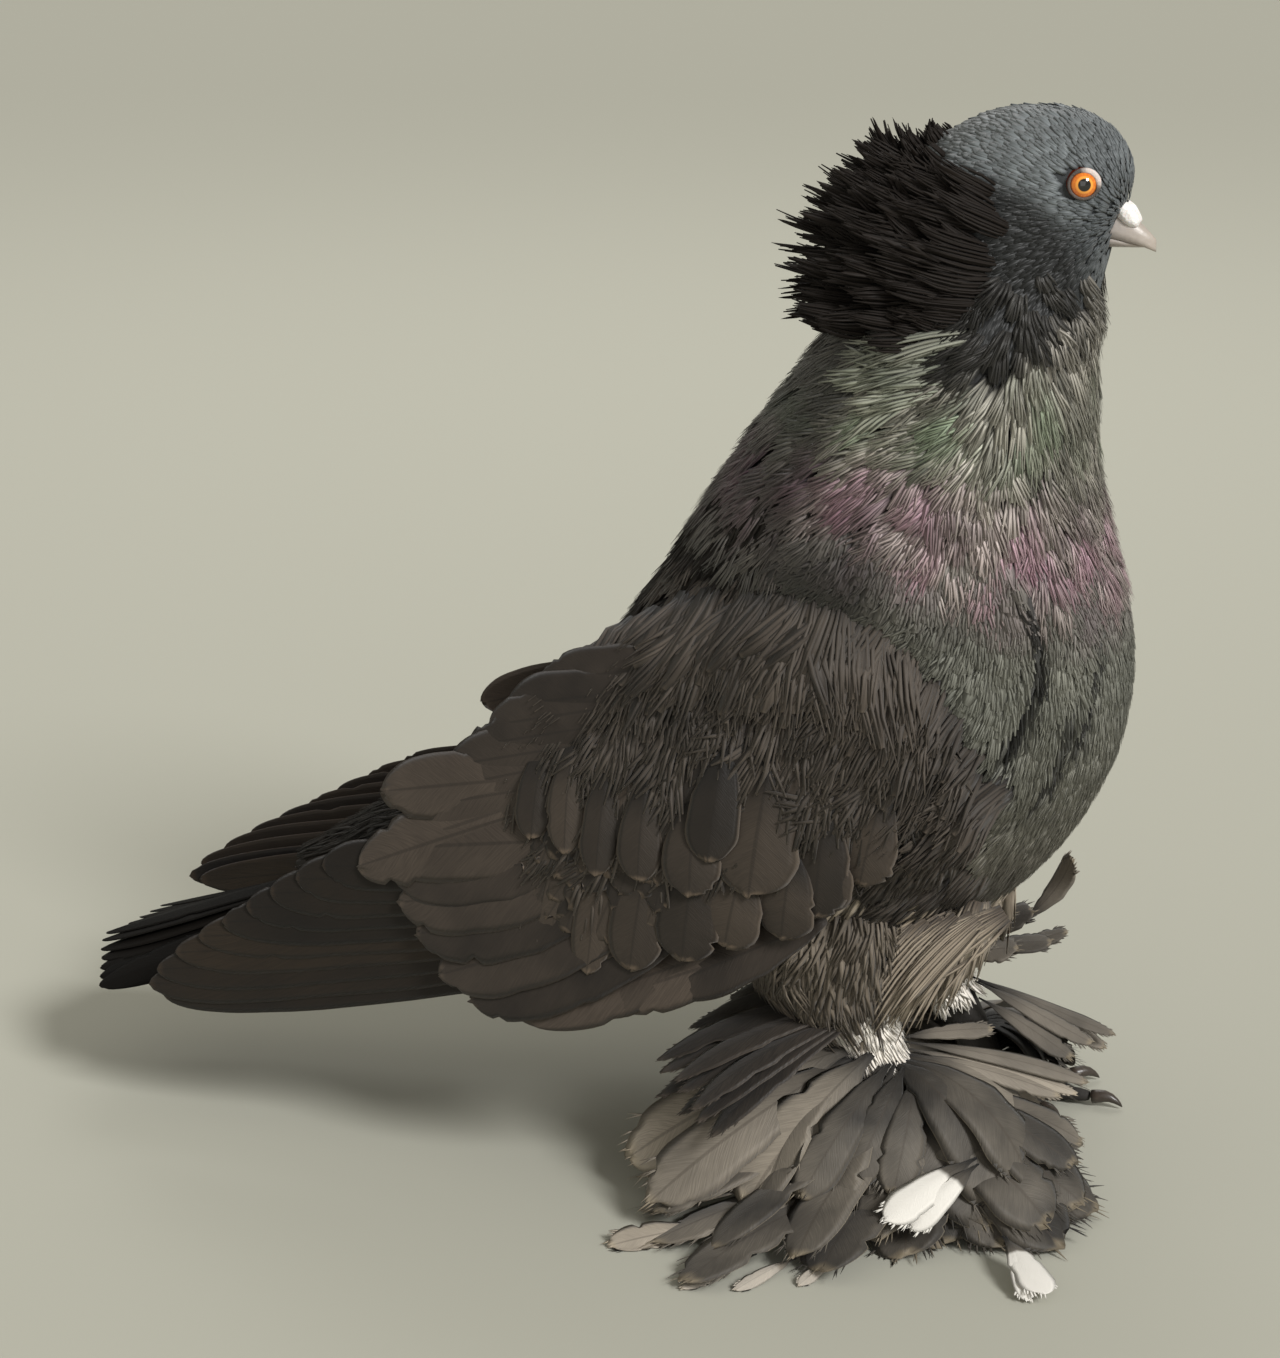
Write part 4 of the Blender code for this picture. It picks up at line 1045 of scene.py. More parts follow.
def tuftPiece(name, points, normals, lays, lengths, widths, rootUv, look, slotName, outline, lift, marks):
    lays = squared(lays, normals)
    cross = np.cross(normals, lays)
    turns = [Matrix(np.stack([l, c, n], 1).tolist()).to_euler() for l, c, n in zip(lays, cross, normals)]
    mesh = bpy.data.meshes.new(name + "Points")
    mesh.from_pydata(((points + shift) * metre).tolist(), [], [])
    values = {
        "turn": np.array([tuple(e) for e in turns]),
        "size": np.stack([lengths, widths, (lengths + widths) / 2], 1) * metre,
        "rootUv": np.concatenate([rootUv, np.zeros((len(points), 1))], 1),
    }
    for mark, value in values.items():
        mesh.attributes.new(mark, "FLOAT_VECTOR", "POINT").data.foreach_set("vector", value.astype(np.float32).ravel())
    for mark, value in marks.items():
        mesh.attributes.new(mark, "FLOAT", "POINT").data.foreach_set("value", np.asarray(value, np.float32))
    piece = addObject(name, mesh)
    feather = oneFeather(name + "Feather", outline, lift)
    tree, featherInput, sizeInput = tuftTree(name + "Tree", look)
    setter = piece.modifiers.new("tufts", "NODES")
    setter.node_group = tree
    setter[featherInput] = feather
    setter[sizeInput] = 1.0
    applyModifiers(piece)
    bpy.data.objects.remove(feather)
    return place(piece, slotName)


def headFeathers():
    place, angle = trunkScatter(head["count"], 0.05, head["last"])
    angle = angle + rng.normal(0, 0.9, len(angle)) / np.interp(place, [0, 1.5, 4, 8], [4, 12, 22, 24])
    place = np.clip(place + rng.normal(0, 0.09, len(place)), 0.05, head["last"])
    here, normal = outward(trunkPoint, place, angle, trunkMiddle(place))
    eyes = [np.linalg.norm(here - np.array([eyePlace[0] + 0.8, s * 16.0, eyePlace[2]]), axis=-1) for s in (-1, 1)]
    beakGap = np.linalg.norm((here - np.array([34.0, 0.0, 295.5])) * [1, 1, 0.9], axis=-1)
    keep = (np.minimum(*eyes) > head["eyeGap"]) & (beakGap > head["beakGap"])
    place, angle, here, normal = place[keep], angle[keep], here[keep], normal[keep]
    _, alongA, _ = frameOf(trunkPoint, place, angle)
    away = here - np.array(head["beak"])  # feathers point away from the beak
    low = np.clip((284 - here[:, 2]) / 20, 0, 1)[:, None]
    lay = unit(unit(away) * (1 - low) + unit(alongA) * low + rng.normal(0, 0.06, here.shape))
    far = np.linalg.norm(away, axis=-1)
    length = head["size"] * np.interp(far, [5, 20, 45, 80], [0.5, 0.85, 1.3, 2.2]) * rng.uniform(0.85, 1.15, len(here))
    tone = 0.50 + 0.42 * np.clip(normal[:, 2], -0.4, 1) + rng.uniform(-0.05, 0.05, len(here))  # painted light: paler where the skin faces up, as on the crown
    tone = tone - 0.75 * bump01(here[:, 2], 272, 28) - 0.3 * np.clip((here[:, 0] - 18) / 10, 0, 1)
    rootUv = np.stack([inMap(angle / math.tau) % 1, inMap(place / lastPlace)], 1)
    tuftPiece("headFeathers", here - normal * 0.6, normal, lay, length, length * 0.36, rootUv, looks["head"], "head",
        [0.75, 1.0, 0.35], 0.025, {"tone": np.clip(tone, 0, 1), "dark": earDark(here) * 0.95})


headFeathers()
print("head feathers set")


# Hood: ragged plumes that sweep up and back from the nape and the sides of the head

hood = {
    "tiers": [  # place on the body, half fan in degrees, plumes, reach, steepness in degrees, upward hook in mm
        (3.4, 26, 6, 3, 48, 1.0), (4.0, 44, 12, 7, 46, 2.0), (4.8, 74, 26, 12, 34, 4.0), (5.6, 90, 34, 17, 22, 6.0),
        (6.4, 96, 36, 20, 12, 7.0), (7.2, 96, 36, 17, 6, 6.0), (7.8, 84, 26, 11, 3, 3.0),
        (4.6, 90, 28, 18, 22, 2.0), (5.4, 98, 34, 24, 16, 3.5), (6.2, 104, 36, 27, 10, 4.0),
        (7.0, 104, 32, 26, 6, 3.5), (7.6, 96, 26, 19, 1, 2.0),
    ],
    "keys": [  # the plumes that make the hood's ragged outline: place, angle, tip
        (3.4, 186, (-27.4, -3.0, 326.0)), (3.6, 190, (-29.0, -4.0, 322.0)), (4.0, 190, (-37.0, -4.0, 325.4)),
        (4.3, 184, (-38.5, -1.0, 321.0)), (4.7, 192, (-44.0, -4.5, 326.0)), (4.8, 186, (-45.0, -2.0, 322.5)),
        (4.9, 188, (-45.5, -3.0, 317.5)),
        (5.2, 196, (-50.0, -7.0, 310.0)), (5.5, 188, (-54.4, -3.0, 308.6)), (5.8, 192, (-56.5, -5.0, 303.5)),
        (6.0, 198, (-58.5, -9.0, 302.0)), (6.2, 190, (-62.0, -4.0, 300.8)),
        (6.5, 200, (-65.0, -10.0, 295.0)), (6.7, 188, (-68.8, -3.0, 293.2)), (6.9, 200, (-68.5, -9.0, 287.0)),
        (7.1, 190, (-66.0, -4.0, 281.0)),
        (7.3, 196, (-67.4, -6.0, 275.0)), (7.5, 188, (-66.6, -2.0, 270.5)), (7.7, 194, (-64.5, -5.0, 264.5)),
    ],
    "keyHook": 6.0, "width": 6.4, "strands": 8, "barb": 0.95, "rows": 5, "short": 0.78, "base": 0.35, "curve": 0.05,
    "loose": 0.2, "fan": [0.45, 0.95, 0.85, 0.5], "outline": [0.7, 1.0, 0.95, 0.8, 0.35], "ridge": 0.15,
    "tones": (0.0, 0.7, 0.3),
}


def rootAt(place, angle):  # a point of the body and the normal there
    here, normal = outward(trunkPoint, np.array([place]), np.array([angle]), trunkMiddle(np.array([place])))
    return here[0], normal[0]


def hoodPlumes():
    plumes = []

    def add(at, angle, tip, width, hook):
        here, normal = rootAt(at, angle)
        hand = -1.0 if math.sin(angle) < 0 else 1.0
        face = normal + np.array([0.0, hand * (1.1 if math.cos(angle) < -0.6 else 0.3), 0.0]) + rng.normal(0, 0.08, 3)
        low = np.array(tip, float) - np.array([0.0, 0.0, hook])
        plumes.append((here - normal * 2.5, low, face, width, -hand * hook, (angle / math.tau, at / lastPlace)))

    for at, angle, tip in hood["keys"]:
        for side in (1, -1):
            slip = 0.0 if side > 0 else rng.uniform(1, 3)
            turn = math.radians(360 - angle if side > 0 else angle)
            end = (tip[0] + slip, tip[1] * side, tip[2] - slip)
            add(at, turn, end, hood["width"] * rng.uniform(0.6, 0.85), hood["keyHook"])
    for at, fan, count, reach, steep, hook in hood["tiers"]:
        for k in range(count):
            share = np.clip(((k + rng.uniform(-0.4, 0.4)) / (count - 1)) * 2 - 1, -1, 1)
            where, angle = at + rng.uniform(-0.4, 0.4), math.pi + math.radians(fan) * share
            here, normal = rootAt(where, angle)
            flat = unit((normal[0], normal[1], 0))
            swept = unit(flat + np.array([-2.4 * abs(share) ** 1.2 - 0.2, 0, 0]))
            rise = math.radians(steep + rng.normal(0, 5))
            heading = swept * math.cos(rise) + np.array([0, 0, math.sin(rise)])
            length = reach * rng.uniform(0.8, 1.02) + 3
            end = here + heading * length + np.array([0, 0, hook * 0.5])
            add(where, angle, end, hood["width"] * rng.uniform(0.75, 1.2), hook)
    root, tip, face, width, hook, rootUv = (np.array(v, float) for v in zip(*plumes))
    lay = [(root[k], tip[k], face[k], width[k] * 0.42, 0.6, hook[k], rng.uniform(-0.5, 0.5))
        for k in range(0, len(plumes), 2)]
    vanes = quillPiece("hoodVanes", lay, "plume", looks["hood"], "hood", rows=8, columns=5, ragged=0.8, thick=0.3,
        seed=71)
    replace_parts(vanes, "hood")
    strands = freeBundles(root, tip, face, width, 0.6 + 0 * hook, hood, hook)
    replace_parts(strandPiece("hoodPlumes", strands, inMap(rootUv), hood, looks["hood"], "hood"), "hood")


hoodPlumes()
print("hood made")


# Wings

wingFeathers = {  # on the folded wing: distance behind the bend, height above its axis
    "primaryTips": [(261, -5), (266, 0), (256, 5), (243, 9), (230, 12), (217, 15), (204, 18), (190, 20)],
    "secondaries": [  # root, tip, width
        ((33, -33), (88, -41), 15), ((41, -36), (108, -39), 15.5), ((46, -33), (122, -38), 16),
        ((54, -34), (136, -38), 16.5),
        ((78, -28), (151, -30), 19), ((84, -19), (159, -20), 20), ((90, -12), (163, -6), 21), ((94, -5), (166, 5), 21),
        ((96, 2), (165, 14), 21), ((98, 8), (168, 22), 20),
    ],
    "tertials": [
        ((104, 21), (178, 19), 19), ((103, 24), (166, 21), 20), ((98, 28), (161, 39), 18), ((102, 26), (156, 31), 17),
        ((93, 31), (147, 35), 15), ((88, 35), (139, 40), 15), ((82, 39), (130, 45), 15), ((74, 43), (121, 49), 15),
        ((66, 46), (112, 53), 15), ((53, 50), (99, 57), 15),
    ],
    "greater": [
        ((104, 16), (132, -23), 11.5), ((99, 14), (123, -28), 12), ((90, 6), (109, -31), 13.5),
        ((77, -1), (94, -33), 18),
        ((63, -7), (77, -34), 21), ((49, -12), (62, -34), 20), ((33, -12), (46, -35), 19), ((20, -10), (31, -31), 17),
    ],
    "median": [
        ((103, 40), (113, 12), 13), ((93, 38), (104, 6), 13), ((82, 29), (95, -3), 12.5), ((71, 20), (83, -8), 14.5),
        ((56, 12), (68, -17), 19), ((31, 16), (49, -21), 27), ((18, 0), (34, -32), 19), ((2, -2), (18, -26), 18),
        ((44, 22), (58, -8), 17),
    ],
    "wider": 1.22,  # secondaries and tertials against their widths above
    "rim": [  # the wing's front and upper edge, and the way in which feathers fall over it
        ((-12, -14), (0.95, -0.3)), ((-13, 8), (0.7, -0.7)), ((-8, 28), (0.45, -0.9)), ((4, 42), (0.42, -0.9)),
        ((20, 50), (0.45, -0.9)), ((45, 56), (0.5, -0.86)), ((75, 58), (0.6, -0.8)), ((100, 56), (0.8, -0.6)),
        ((124, 49), (0.92, -0.4)),
    ],
    "tertialTones": [0.75, 0.9, 0.8, 0.55, 0.4, 0.3, 0.15, 0.2, 0.05, 0.1],
    "right": {"push": 0.0, "rise": 0.0, "tertials": 10, "rim": 0.86},
    "left": {"push": 17.0, "rise": 15.0, "tertials": 3, "rim": 0.7},
}


def makeWing(sideName):
    side = sides[sideName]
    reach, label = wingFeathers[sideName], sideName.capitalize()
    start, backAxis, upAxis, out = wingAxes(side)
    dome = wingDome(side)
    inside = wingPoint(side, 60.0, 8.0, -40.0)
    middle = lambda a, b: np.broadcast_to(inside, np.shape(a) + (3,))

    def onWing(back, up, high):  # at a height above the folded arm's surface
        base = dome(np.array([float(back)]), np.array([float(up)]))[0]
        flat = wingPoint(side, back, up, 0.0)
        return flat + out * (max(float((base - flat) @ out), 7.0) + high)

    tips = np.array(wingFeathers["primaryTips"], float)
    specs = []
    for k in range(10):
        share = k / 9
        back, up = (np.interp(share * 7, range(8), tips[:, i]) for i in (0, 1))
        high = 1.2 + 7 * share
        tip = (back + reach["push"] * (1 - 0.5 * share), up + reach["rise"] * (1 - 0.75 * share), high)
        root = (108 + 8 * share, -28 + 33 * share, high)
        specs.append((wingPoint(side, *root), wingPoint(side, *tip), out, 17, 0.0, -side * 2.0, 0.0))
    piece = quillPiece("primaries" + label, specs, "flight", looks["primary"], "quills", rows=30, columns=9, seed=21)
    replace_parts(piece, "wing_" + sideName)

    def group(name, rows, look, lowHigh, tipHigh, step, tilt, lift, seed, **shape):
        specs = []
        for k, (root, tip, width) in enumerate(rows):
            drift = rng.uniform(-1.5, 1.5, 2)
            end = onWing(tip[0] + drift[0], tip[1] + drift[1] * 0.5, tipHigh + step * k)
            specs.append((onWing(*root, lowHigh + step * k), end, out, width, lift, 0.0, side * tilt))
        quillPiece(name + label, specs, "covert", look, "quills", rows=22, columns=9, seed=seed, **shape)

    wider = lambda rows: [(root, tip, width * wingFeathers["wider"]) for root, tip, width in rows]
    last = reach["tertials"]
    group("secondaries", wider(wingFeathers["secondaries"]), looks["tertial"], -1.5, 1.2, 0.16, 0.08, 1.2, 22,
        ragged=0.2)
    group("tertials", wider(wingFeathers["tertials"][:last]), looks["tertial"], -1.0, 2.6, 0.22, 0.06, 1.4, 24,
          ragged=0.25, tones=wingFeathers["tertialTones"][:last])
    group("greaterCoverts", wingFeathers["greater"], looks["covert"], 0.4, 3.8, 0.15, -0.08, 1.4, 23, ragged=0.1)
    group("medianCoverts", wingFeathers["median"], looks["covert"], 0.8, 4.1, 0.12, -0.08, 1.8, 25, ragged=0.12)

    def scatter(count, backs, shares):
        first, second = evenly(count, 2)
        back = backs[0] + (backs[1] - backs[0]) * first
        row = armRow(back)
        share = shares[0] + (shares[1] - shares[0]) * second
        return back, (row[:, 1] + row[:, 2]) / 2 + share * (row[:, 2] - row[:, 1]) / 2

    back, up = scatter(110, (-6, 112), (-0.4, 0.35))
    order = np.argsort(back + 1.2 * up)  # in the order in which they overlap
    back, up = back[order], up[order]
    down = np.interp(back, [0, 60, 100], [1.0, 0.75, 0.5])
    lay = (backAxis * (0.9 - 0.4 * down)[:, None] - upAxis * (0.2 + 0.7 * down)[:, None]
        + rng.normal(0, 0.14, (len(back), 3)))
    surfaceVanes("smallCoverts" + label, dome, middle, back, up, lay, rng.uniform(20, 31, len(back)),
        rng.uniform(12, 18, len(back)), "covert", looks["covert"], "quills",
        np.linspace(1.4, 3.0, len(back)) + rng.uniform(-0.15, 0.15, len(back)), ragged=0.5, seed=26)

    wide = {"spanA": 200.0, "startA": -20.0, "spanB": 120.0, "startB": -50.0}
    cfg = {"strands": 7, "barb": 1.6, "lift": 2.4, "curve": 0.16, "rows": 4, "ridge": 0.05, "base": 0.8,
        "tones": (0.0, 0.5, 0.12), "outline": [0.7, 1.0, 1.0, 0.8, 0.3]}
    back, up = scatter(430, (-11, 112), (-0.6, 0.9))
    sparse = np.arange(len(back)) % 3 == 0  # a few loose ones also lie over the round coverts
    keep = ((up > np.interp(back, [-11, 5, 30, 60, 100], [-22, -12, 2, 8, 14]))
        | (sparse & (up > np.interp(back, [0, 100], [-14, 2]))))
    back, up = back[keep], up[keep]
    down = np.interp(up, [-15, 15, 40], [0.25, 0.85, 1.0]) * np.interp(back, [0, 70, 100], [1.0, 1.0, 0.6])
    lay = (backAxis * (0.95 - 0.45 * down)[:, None] - upAxis * (0.15 + 0.75 * down)[:, None]
        + rng.normal(0, 0.2, (len(back), 3)))
    bundlePiece("shoulderFeathers" + label, dome, middle, back, up, lay, rng.uniform(18, 30, len(back)),
        rng.uniform(7, 11, len(back)), cfg, looks["shoulder"], "plumage", **wide)

    # feathers rooted on the body that fall over the wing's front and upper edge, so that no seam shows
    rim = np.array(wingFeathers["rim"], float)
    first, second = evenly(370, 2)
    at = first * (len(rim) - 1) * reach["rim"]
    edge, flow = (np.stack([np.interp(at, range(len(rim)), rim[:, n, k]) for k in (0, 1)], 1) for n in (0, 1))
    run = unit(flow + rng.normal(0, 0.2, (len(at), 2)))
    places, angles = np.meshgrid(np.linspace(10.4, 19, 260), np.radians(np.linspace(20, 160, 150)) * side,
        indexing="ij")
    shell = trunkPoint(places.ravel(), angles.ravel())
    rel = shell - start
    shellBack, shellUp = rel @ backAxis, rel @ upAxis
    roots, tips, bows = [], [], []
    for k in range(len(at)):
        from2, to2 = edge[k] - run[k] * (2 + 14 * second[k]), edge[k] + run[k] * rng.uniform(4, 32)
        near = np.argmin((shellBack - from2[0]) ** 2 + (shellUp - from2[1]) ** 2)
        roots.append(shell[near] - out * 1.0)
        tips.append(onWing(*to2, rng.uniform(2.2, 3.8)))
        middle2 = (from2 + to2) / 2
        need = (onWing(*(middle2 * 0.4 + to2 * 0.6), 1.6) - (roots[-1] * 0.2 + tips[-1] * 0.8)) @ out
        bows.append(np.clip(need, 1.5, 6.0))
    cfg = {"strands": 7, "barb": 1.6, "rows": 4, "short": 0.78, "curve": 0.14, "loose": 0.3, "ridge": 0.05,
        "base": 0.8, "tones": (0.0, 0.55, 0.15)}
    faces = np.tile(out, (len(at), 1))
    roots, tips, bows, width = np.array(roots), np.array(tips), np.array(bows), rng.uniform(9, 13.5, len(at))
    strands = freeBundles(roots, tips, faces, width, bows, cfg)
    rootUv = inMap(np.clip(np.stack([(edge[:, 1] + 50) / 120, (edge[:, 0] + 20) / 200], 1), 0, 1))
    strandPiece("wingEdgeFeathers" + label, strands, rootUv, cfg, looks["shoulder"], "plumage")


for sideName in sides:
    makeWing(sideName)
print("wings made")


# Tail

tail = {"count": 12, "root": (-196.0, 82.0), "slope": (-88.0, -33.0), "length": 107.0}


def makeTail():
    slope = unit((tail["slope"][0], 0.0, tail["slope"][1]))
    top = np.array([slope[2], 0.0, -slope[0]])
    specs = []
    for side in (1, -1):
        for k in range(tail["count"] // 2):
            level = -(k + (1 if k and side > 0 else 0) + (1 if side < 0 else 0)) * 0.95
            root = np.array([tail["root"][0], side * (1.0 + 2.0 * k), tail["root"][1]]) + top * level
            tip = (root + slope * (tail["length"] - 1.6 * k)
                + np.array([0.0, side * (1.5 + 2.9 * k), 0.9 * k if side > 0 else -0.9 * k]))
            specs.append((root, tip, top + np.array([0.0, side * (0.04 if side > 0 else 0.12) * k, 0.0]), 17.0, 0.4,
                0.0, 0.0))
    piece = quillPiece("tailQuills", specs, "covert", looks["tail"], "quills", rows=30, columns=9, seed=31)
    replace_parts(piece, "tail")
    covers = []
    for over in (1, -1):
        for k in range(44):
            across, along = rng.uniform(-1, 1), rng.uniform(0, 1)
            root = np.array([-176 - 20 * along, across * (15 - 4 * along),
                82 - 8 * along - (0 if over > 0 else 20 - 7 * along)])
            tip = root + slope * rng.uniform(26, 40) + np.array([0.0, across * 3, 2.0 if over > 0 else 2.5])
            covers.append((root, tip, top * over, 11.0, 1.2, 0.0, 0.0))
    quillPiece("tailCoverts", covers, "covert", looks["tail"], "plumage", rows=12, columns=5, seed=32)


makeTail()
print("tail made")


# Legs and the fans of feathers on the feet

foot = {
    "tiers": [  # height of the roots, height of the tips, width, lightness (the lower tiers darker, as painted shade under the tiers above), heading and length of each feather
        (12.0, 0.6, 26.0, -0.5, [(160, 98), (143, 101), (127, 101), (110, 74), (92, 46), (74, 38), (52, 44), (30, 55),
            (8, 54), (-14, 46), (-36, 40)]),
        (24.0, 5.0, 26.0, -0.45, [(170, 92), (151, 92), (134, 90), (117, 74), (98, 50), (80, 36), (58, 36), (36, 46),
            (14, 52), (-8, 46), (-28, 40)]),
        (36.0, 9.0, 25.0, -0.3, [(178, 92), (158, 82), (140, 68), (120, 54), (96, 36), (66, 31), (40, 36), (14, 41),
            (-14, 38)]),
        (46.0, 15.0, 23.0, 0.0, [(184, 80), (164, 76), (144, 60), (46, 28), (20, 36), (-8, 33), (-38, 28), (202, 60)]),
    ],
    "tones": ([-40, 10, 50, 85, 125, 160], [0.3, 0.25, 0.2, 0.25, 0.58, 0.86]),  # headings and their lightness
    "hockQuills": {"right": 15, "left": 8},
}
strays = {  # feathers that stand out: root, tip, width, lift, curl, whiteness, lightness
    "right": [
        ((-16, -48, 46), (-26, -78, 16), 15, 7, 3, 0, 0.05), ((-13, -49, 44), (-14, -76, 15), 14, 7, 3, 0, 0.12),
        ((-20, -48, 47), (-40, -84, 14), 15, 7, 3, 0, 0.08),
        ((-26, -46, 52), (-99, -62, 12), 27, 6, 0, 0, 0.8), ((-29, -46, 48), (-86, -86, 9), 24, 6, 0, 0, 0.45),
        ((-24, -48, 51), (-58, -80, 9), 26, 7, 0, 0, 0.72),
        ((-22, -48, 48), (-38, -78, 8), 13, 5, 3, 0, 0.5), ((-19, -48, 47), (-30, -75, 8), 12, 6, 3, 0, 0.3),
        ((-16, -48, 45), (-22, -73, 9), 12, 6, 3, 0, 0.48), ((-12, -48, 43), (-12, -71, 9), 12, 5, 3, 0, 0.25),
        ((9, -64, 25), (-14, -89, 11.5), 12, 3, 2, 1, 0.2), ((10, -66, 24), (-6, -88, 10.5), 9, 3, 0, 1, 0.2),
        ((20, -80, 8), (36.5, -105, 1.2), 11, 2, 2, 1, 0.2), ((21, -80, 8), (32, -107, 1.0), 7, 2, 0, 1, 0.2),
        ((-20, -40, 50), (36, -20, 36), 7, 2, -2, 0, 0.4), ((-20, -40, 48), (33, -24, 33), 6, 2, -1, 0, 0.9),
        ((-18, -42, 47), (28, -28, 33), 8, 2, 0, 0, 0.55), ((-20, -40, 51), (7, -30, 53), 7, 1, 0, 0, 0.35),
        ((-16, -42, 44), (23, -30, 28), 14, 2, 0, 0, 0.95),
        ((-6, -46, 38), (36, -46, 18), 15, 3, 0, 0, 0.05), ((-4, -44, 38), (36, -32, 20), 13, 3, 0, 0, 0.2),
        ((-38, -98, 2), (-51, -121, 0.6), 5, 1, 0, 0.2, 1.0), ((-26, -92, 2), (-34, -113, 0.6), 4.5, 1, 0, 0.2, 1.0),
        ((-50, -98, 2), (-66, -124, 0.6), 6, 1, 0, 0.1, 1.0), ((-66, -84, 3), (-94, -101, 0.8), 12, 1, 0, 0, 1.0),
    ],
    "left": [
        ((4, 41, 62), (21, 40, 86), 9, -3, 2, 0, 0.5), ((-14, 45, 46), (17.5, 50, 57.6), 7, 0, 0, 0, 0.1),
        ((-14, 44, 50), (13, 46, 55), 9, 1, 0, 0, 0.1), ((-14, 42, 54), (8, 38, 68), 12, 1, 0, 0, 0.2),
        ((-18, 40, 54), (2, 36, 66), 13, 1, 0, 0, 0.3),
        ((-16, 38, 50), (4, 34, 56), 12, 1, 0, 0, 0.35), ((-18, 36, 50), (-2, 30, 60), 12, 1, 0, 0, 0.4),
        ((-12, 42, 42), (33, 46, 22), 6, 2, 5, 0, 0.2), ((-10, 38, 42), (27, 38, 22), 8, 2, 4, 0, 0.3),
        ((-10, 44, 40), (29, 50, 16), 8, 3, 5, 0, 0.3), ((-8, 34, 38), (22, 31, 20), 9, 2, 3, 0, 0.2),
    ],
}


def makeFoot(name):
    side, _, _, hock, pad = legLine(name)
    label, axis = name.capitalize(), unit(pad - hock)
    specs, tones, white = [], [], []
    for level, end, width, shade, feathers in foot["tiers"]:
        for degrees, length in feathers:
            if side > 0 and level > 30 and degrees < 100:  # the far foot's front is low
                continue
            turn = math.radians(degrees + rng.uniform(-4, 4))
            heading = np.array([math.cos(turn), side * math.sin(turn), 0.0])
            root = pad + axis * (level - pad[2]) / axis[2] + heading * 3.0
            if side > 0:  # the far foot's front feathers are short
                length *= np.interp(abs(degrees), [20, 75], [0.42, 1.0])
            tip = np.array([pad[0], pad[1], 0.0]) + heading * length * rng.uniform(0.9, 1.0)
            tip[2] = end + 0.9 + rng.uniform(0, 1.5)
            arch = np.interp(level, [12, 46], [4.5, 7.5]) + (2.5 if math.cos(turn) > 0.3 else 0.0)
            face = heading * 0.35 + np.array([0, 0, 1.0])
            specs.append((root, tip, face, width * rng.uniform(0.8, 1.12), arch, rng.uniform(-4, 4),
                side * rng.uniform(0.0, 0.3)))
            # the tier's lightness paints shade on the lower tiers, under the tiers above
            tone = shade + np.interp(degrees, *foot["tones"]) + (0.22 if side > 0 else 0.0)
            tones.append(np.clip(tone + rng.uniform(-0.25, 0.25), 0, 1))
            white.append(0.0)
    for root, tip, width, lift, curl, pale, tone in strays[name]:
        specs.append((root, tip, (0.3, -0.5, 1.0), width, lift, 0.0, 0.0, curl))
        tones.append(tone)
        white.append(float(pale))
    piece = quillPiece("footFan" + label, specs, "muff", looks["muff"], "foot", tones=tones, white=white, floor=True,
        rows=22, columns=7, ragged=0.45, fray=18, seed=41 + side)
    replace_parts(piece, "foot_" + name)

    specs = []
    for k in range(foot["hockQuills"][name]):
        turn = math.radians(204 - 5.5 * k)
        heading = np.array([math.cos(turn), side * math.sin(turn) * 0.9, -0.36 - 0.06 * (k % 3)])
        root = hock + np.array([-5.0, side * (0.8 * k - 5.0), 16.0 - 0.7 * k])
        tip = root + unit(heading) * (70.0 - 1.8 * abs(k - 7)) * rng.uniform(0.88, 1.0)
        specs.append((root, tip, (-0.3, side * 0.5, 1.0), 14.5, 3.5, rng.uniform(-3, 3), side * 0.2))
    quillPiece("hockQuills" + label, specs, "lance", looks["hock"], "quills", tones=rng.uniform(0, 0.8, len(specs)),
        rows=20, columns=7, ragged=0.2, fray=16, seed=51 + side)


def legSurface(name):
    _, hip, down, hock, pad = legLine(name)
    path = np.array([hip - down * 6, hip + down * 14, hip + down * 28, hock, hock + (pad - hock) * 0.5, pad])
    radii = [22.0, 25.0, 20.0, 9.3, 8.0, 7.0]

    def surface(a, b):
        a = np.clip(np.asarray(a, float), 0.0, 4.99)
        at = smoothRows(np.column_stack([path, radii]), a)
        ahead = unit(smoothRows(path, np.minimum(a + 0.1, 5.0)) - smoothRows(path, np.maximum(a - 0.1, 0.0)))
        across = unit(np.cross(ahead, np.array([0.0, 1.0, 0.0])))
        other = np.cross(ahead, across)
        return at[..., :3] + at[..., 3:] * (across * np.cos(b)[..., None] + other * np.sin(b)[..., None])

    return surface, lambda a, b: smoothRows(path, np.clip(a, 0, 4.99))


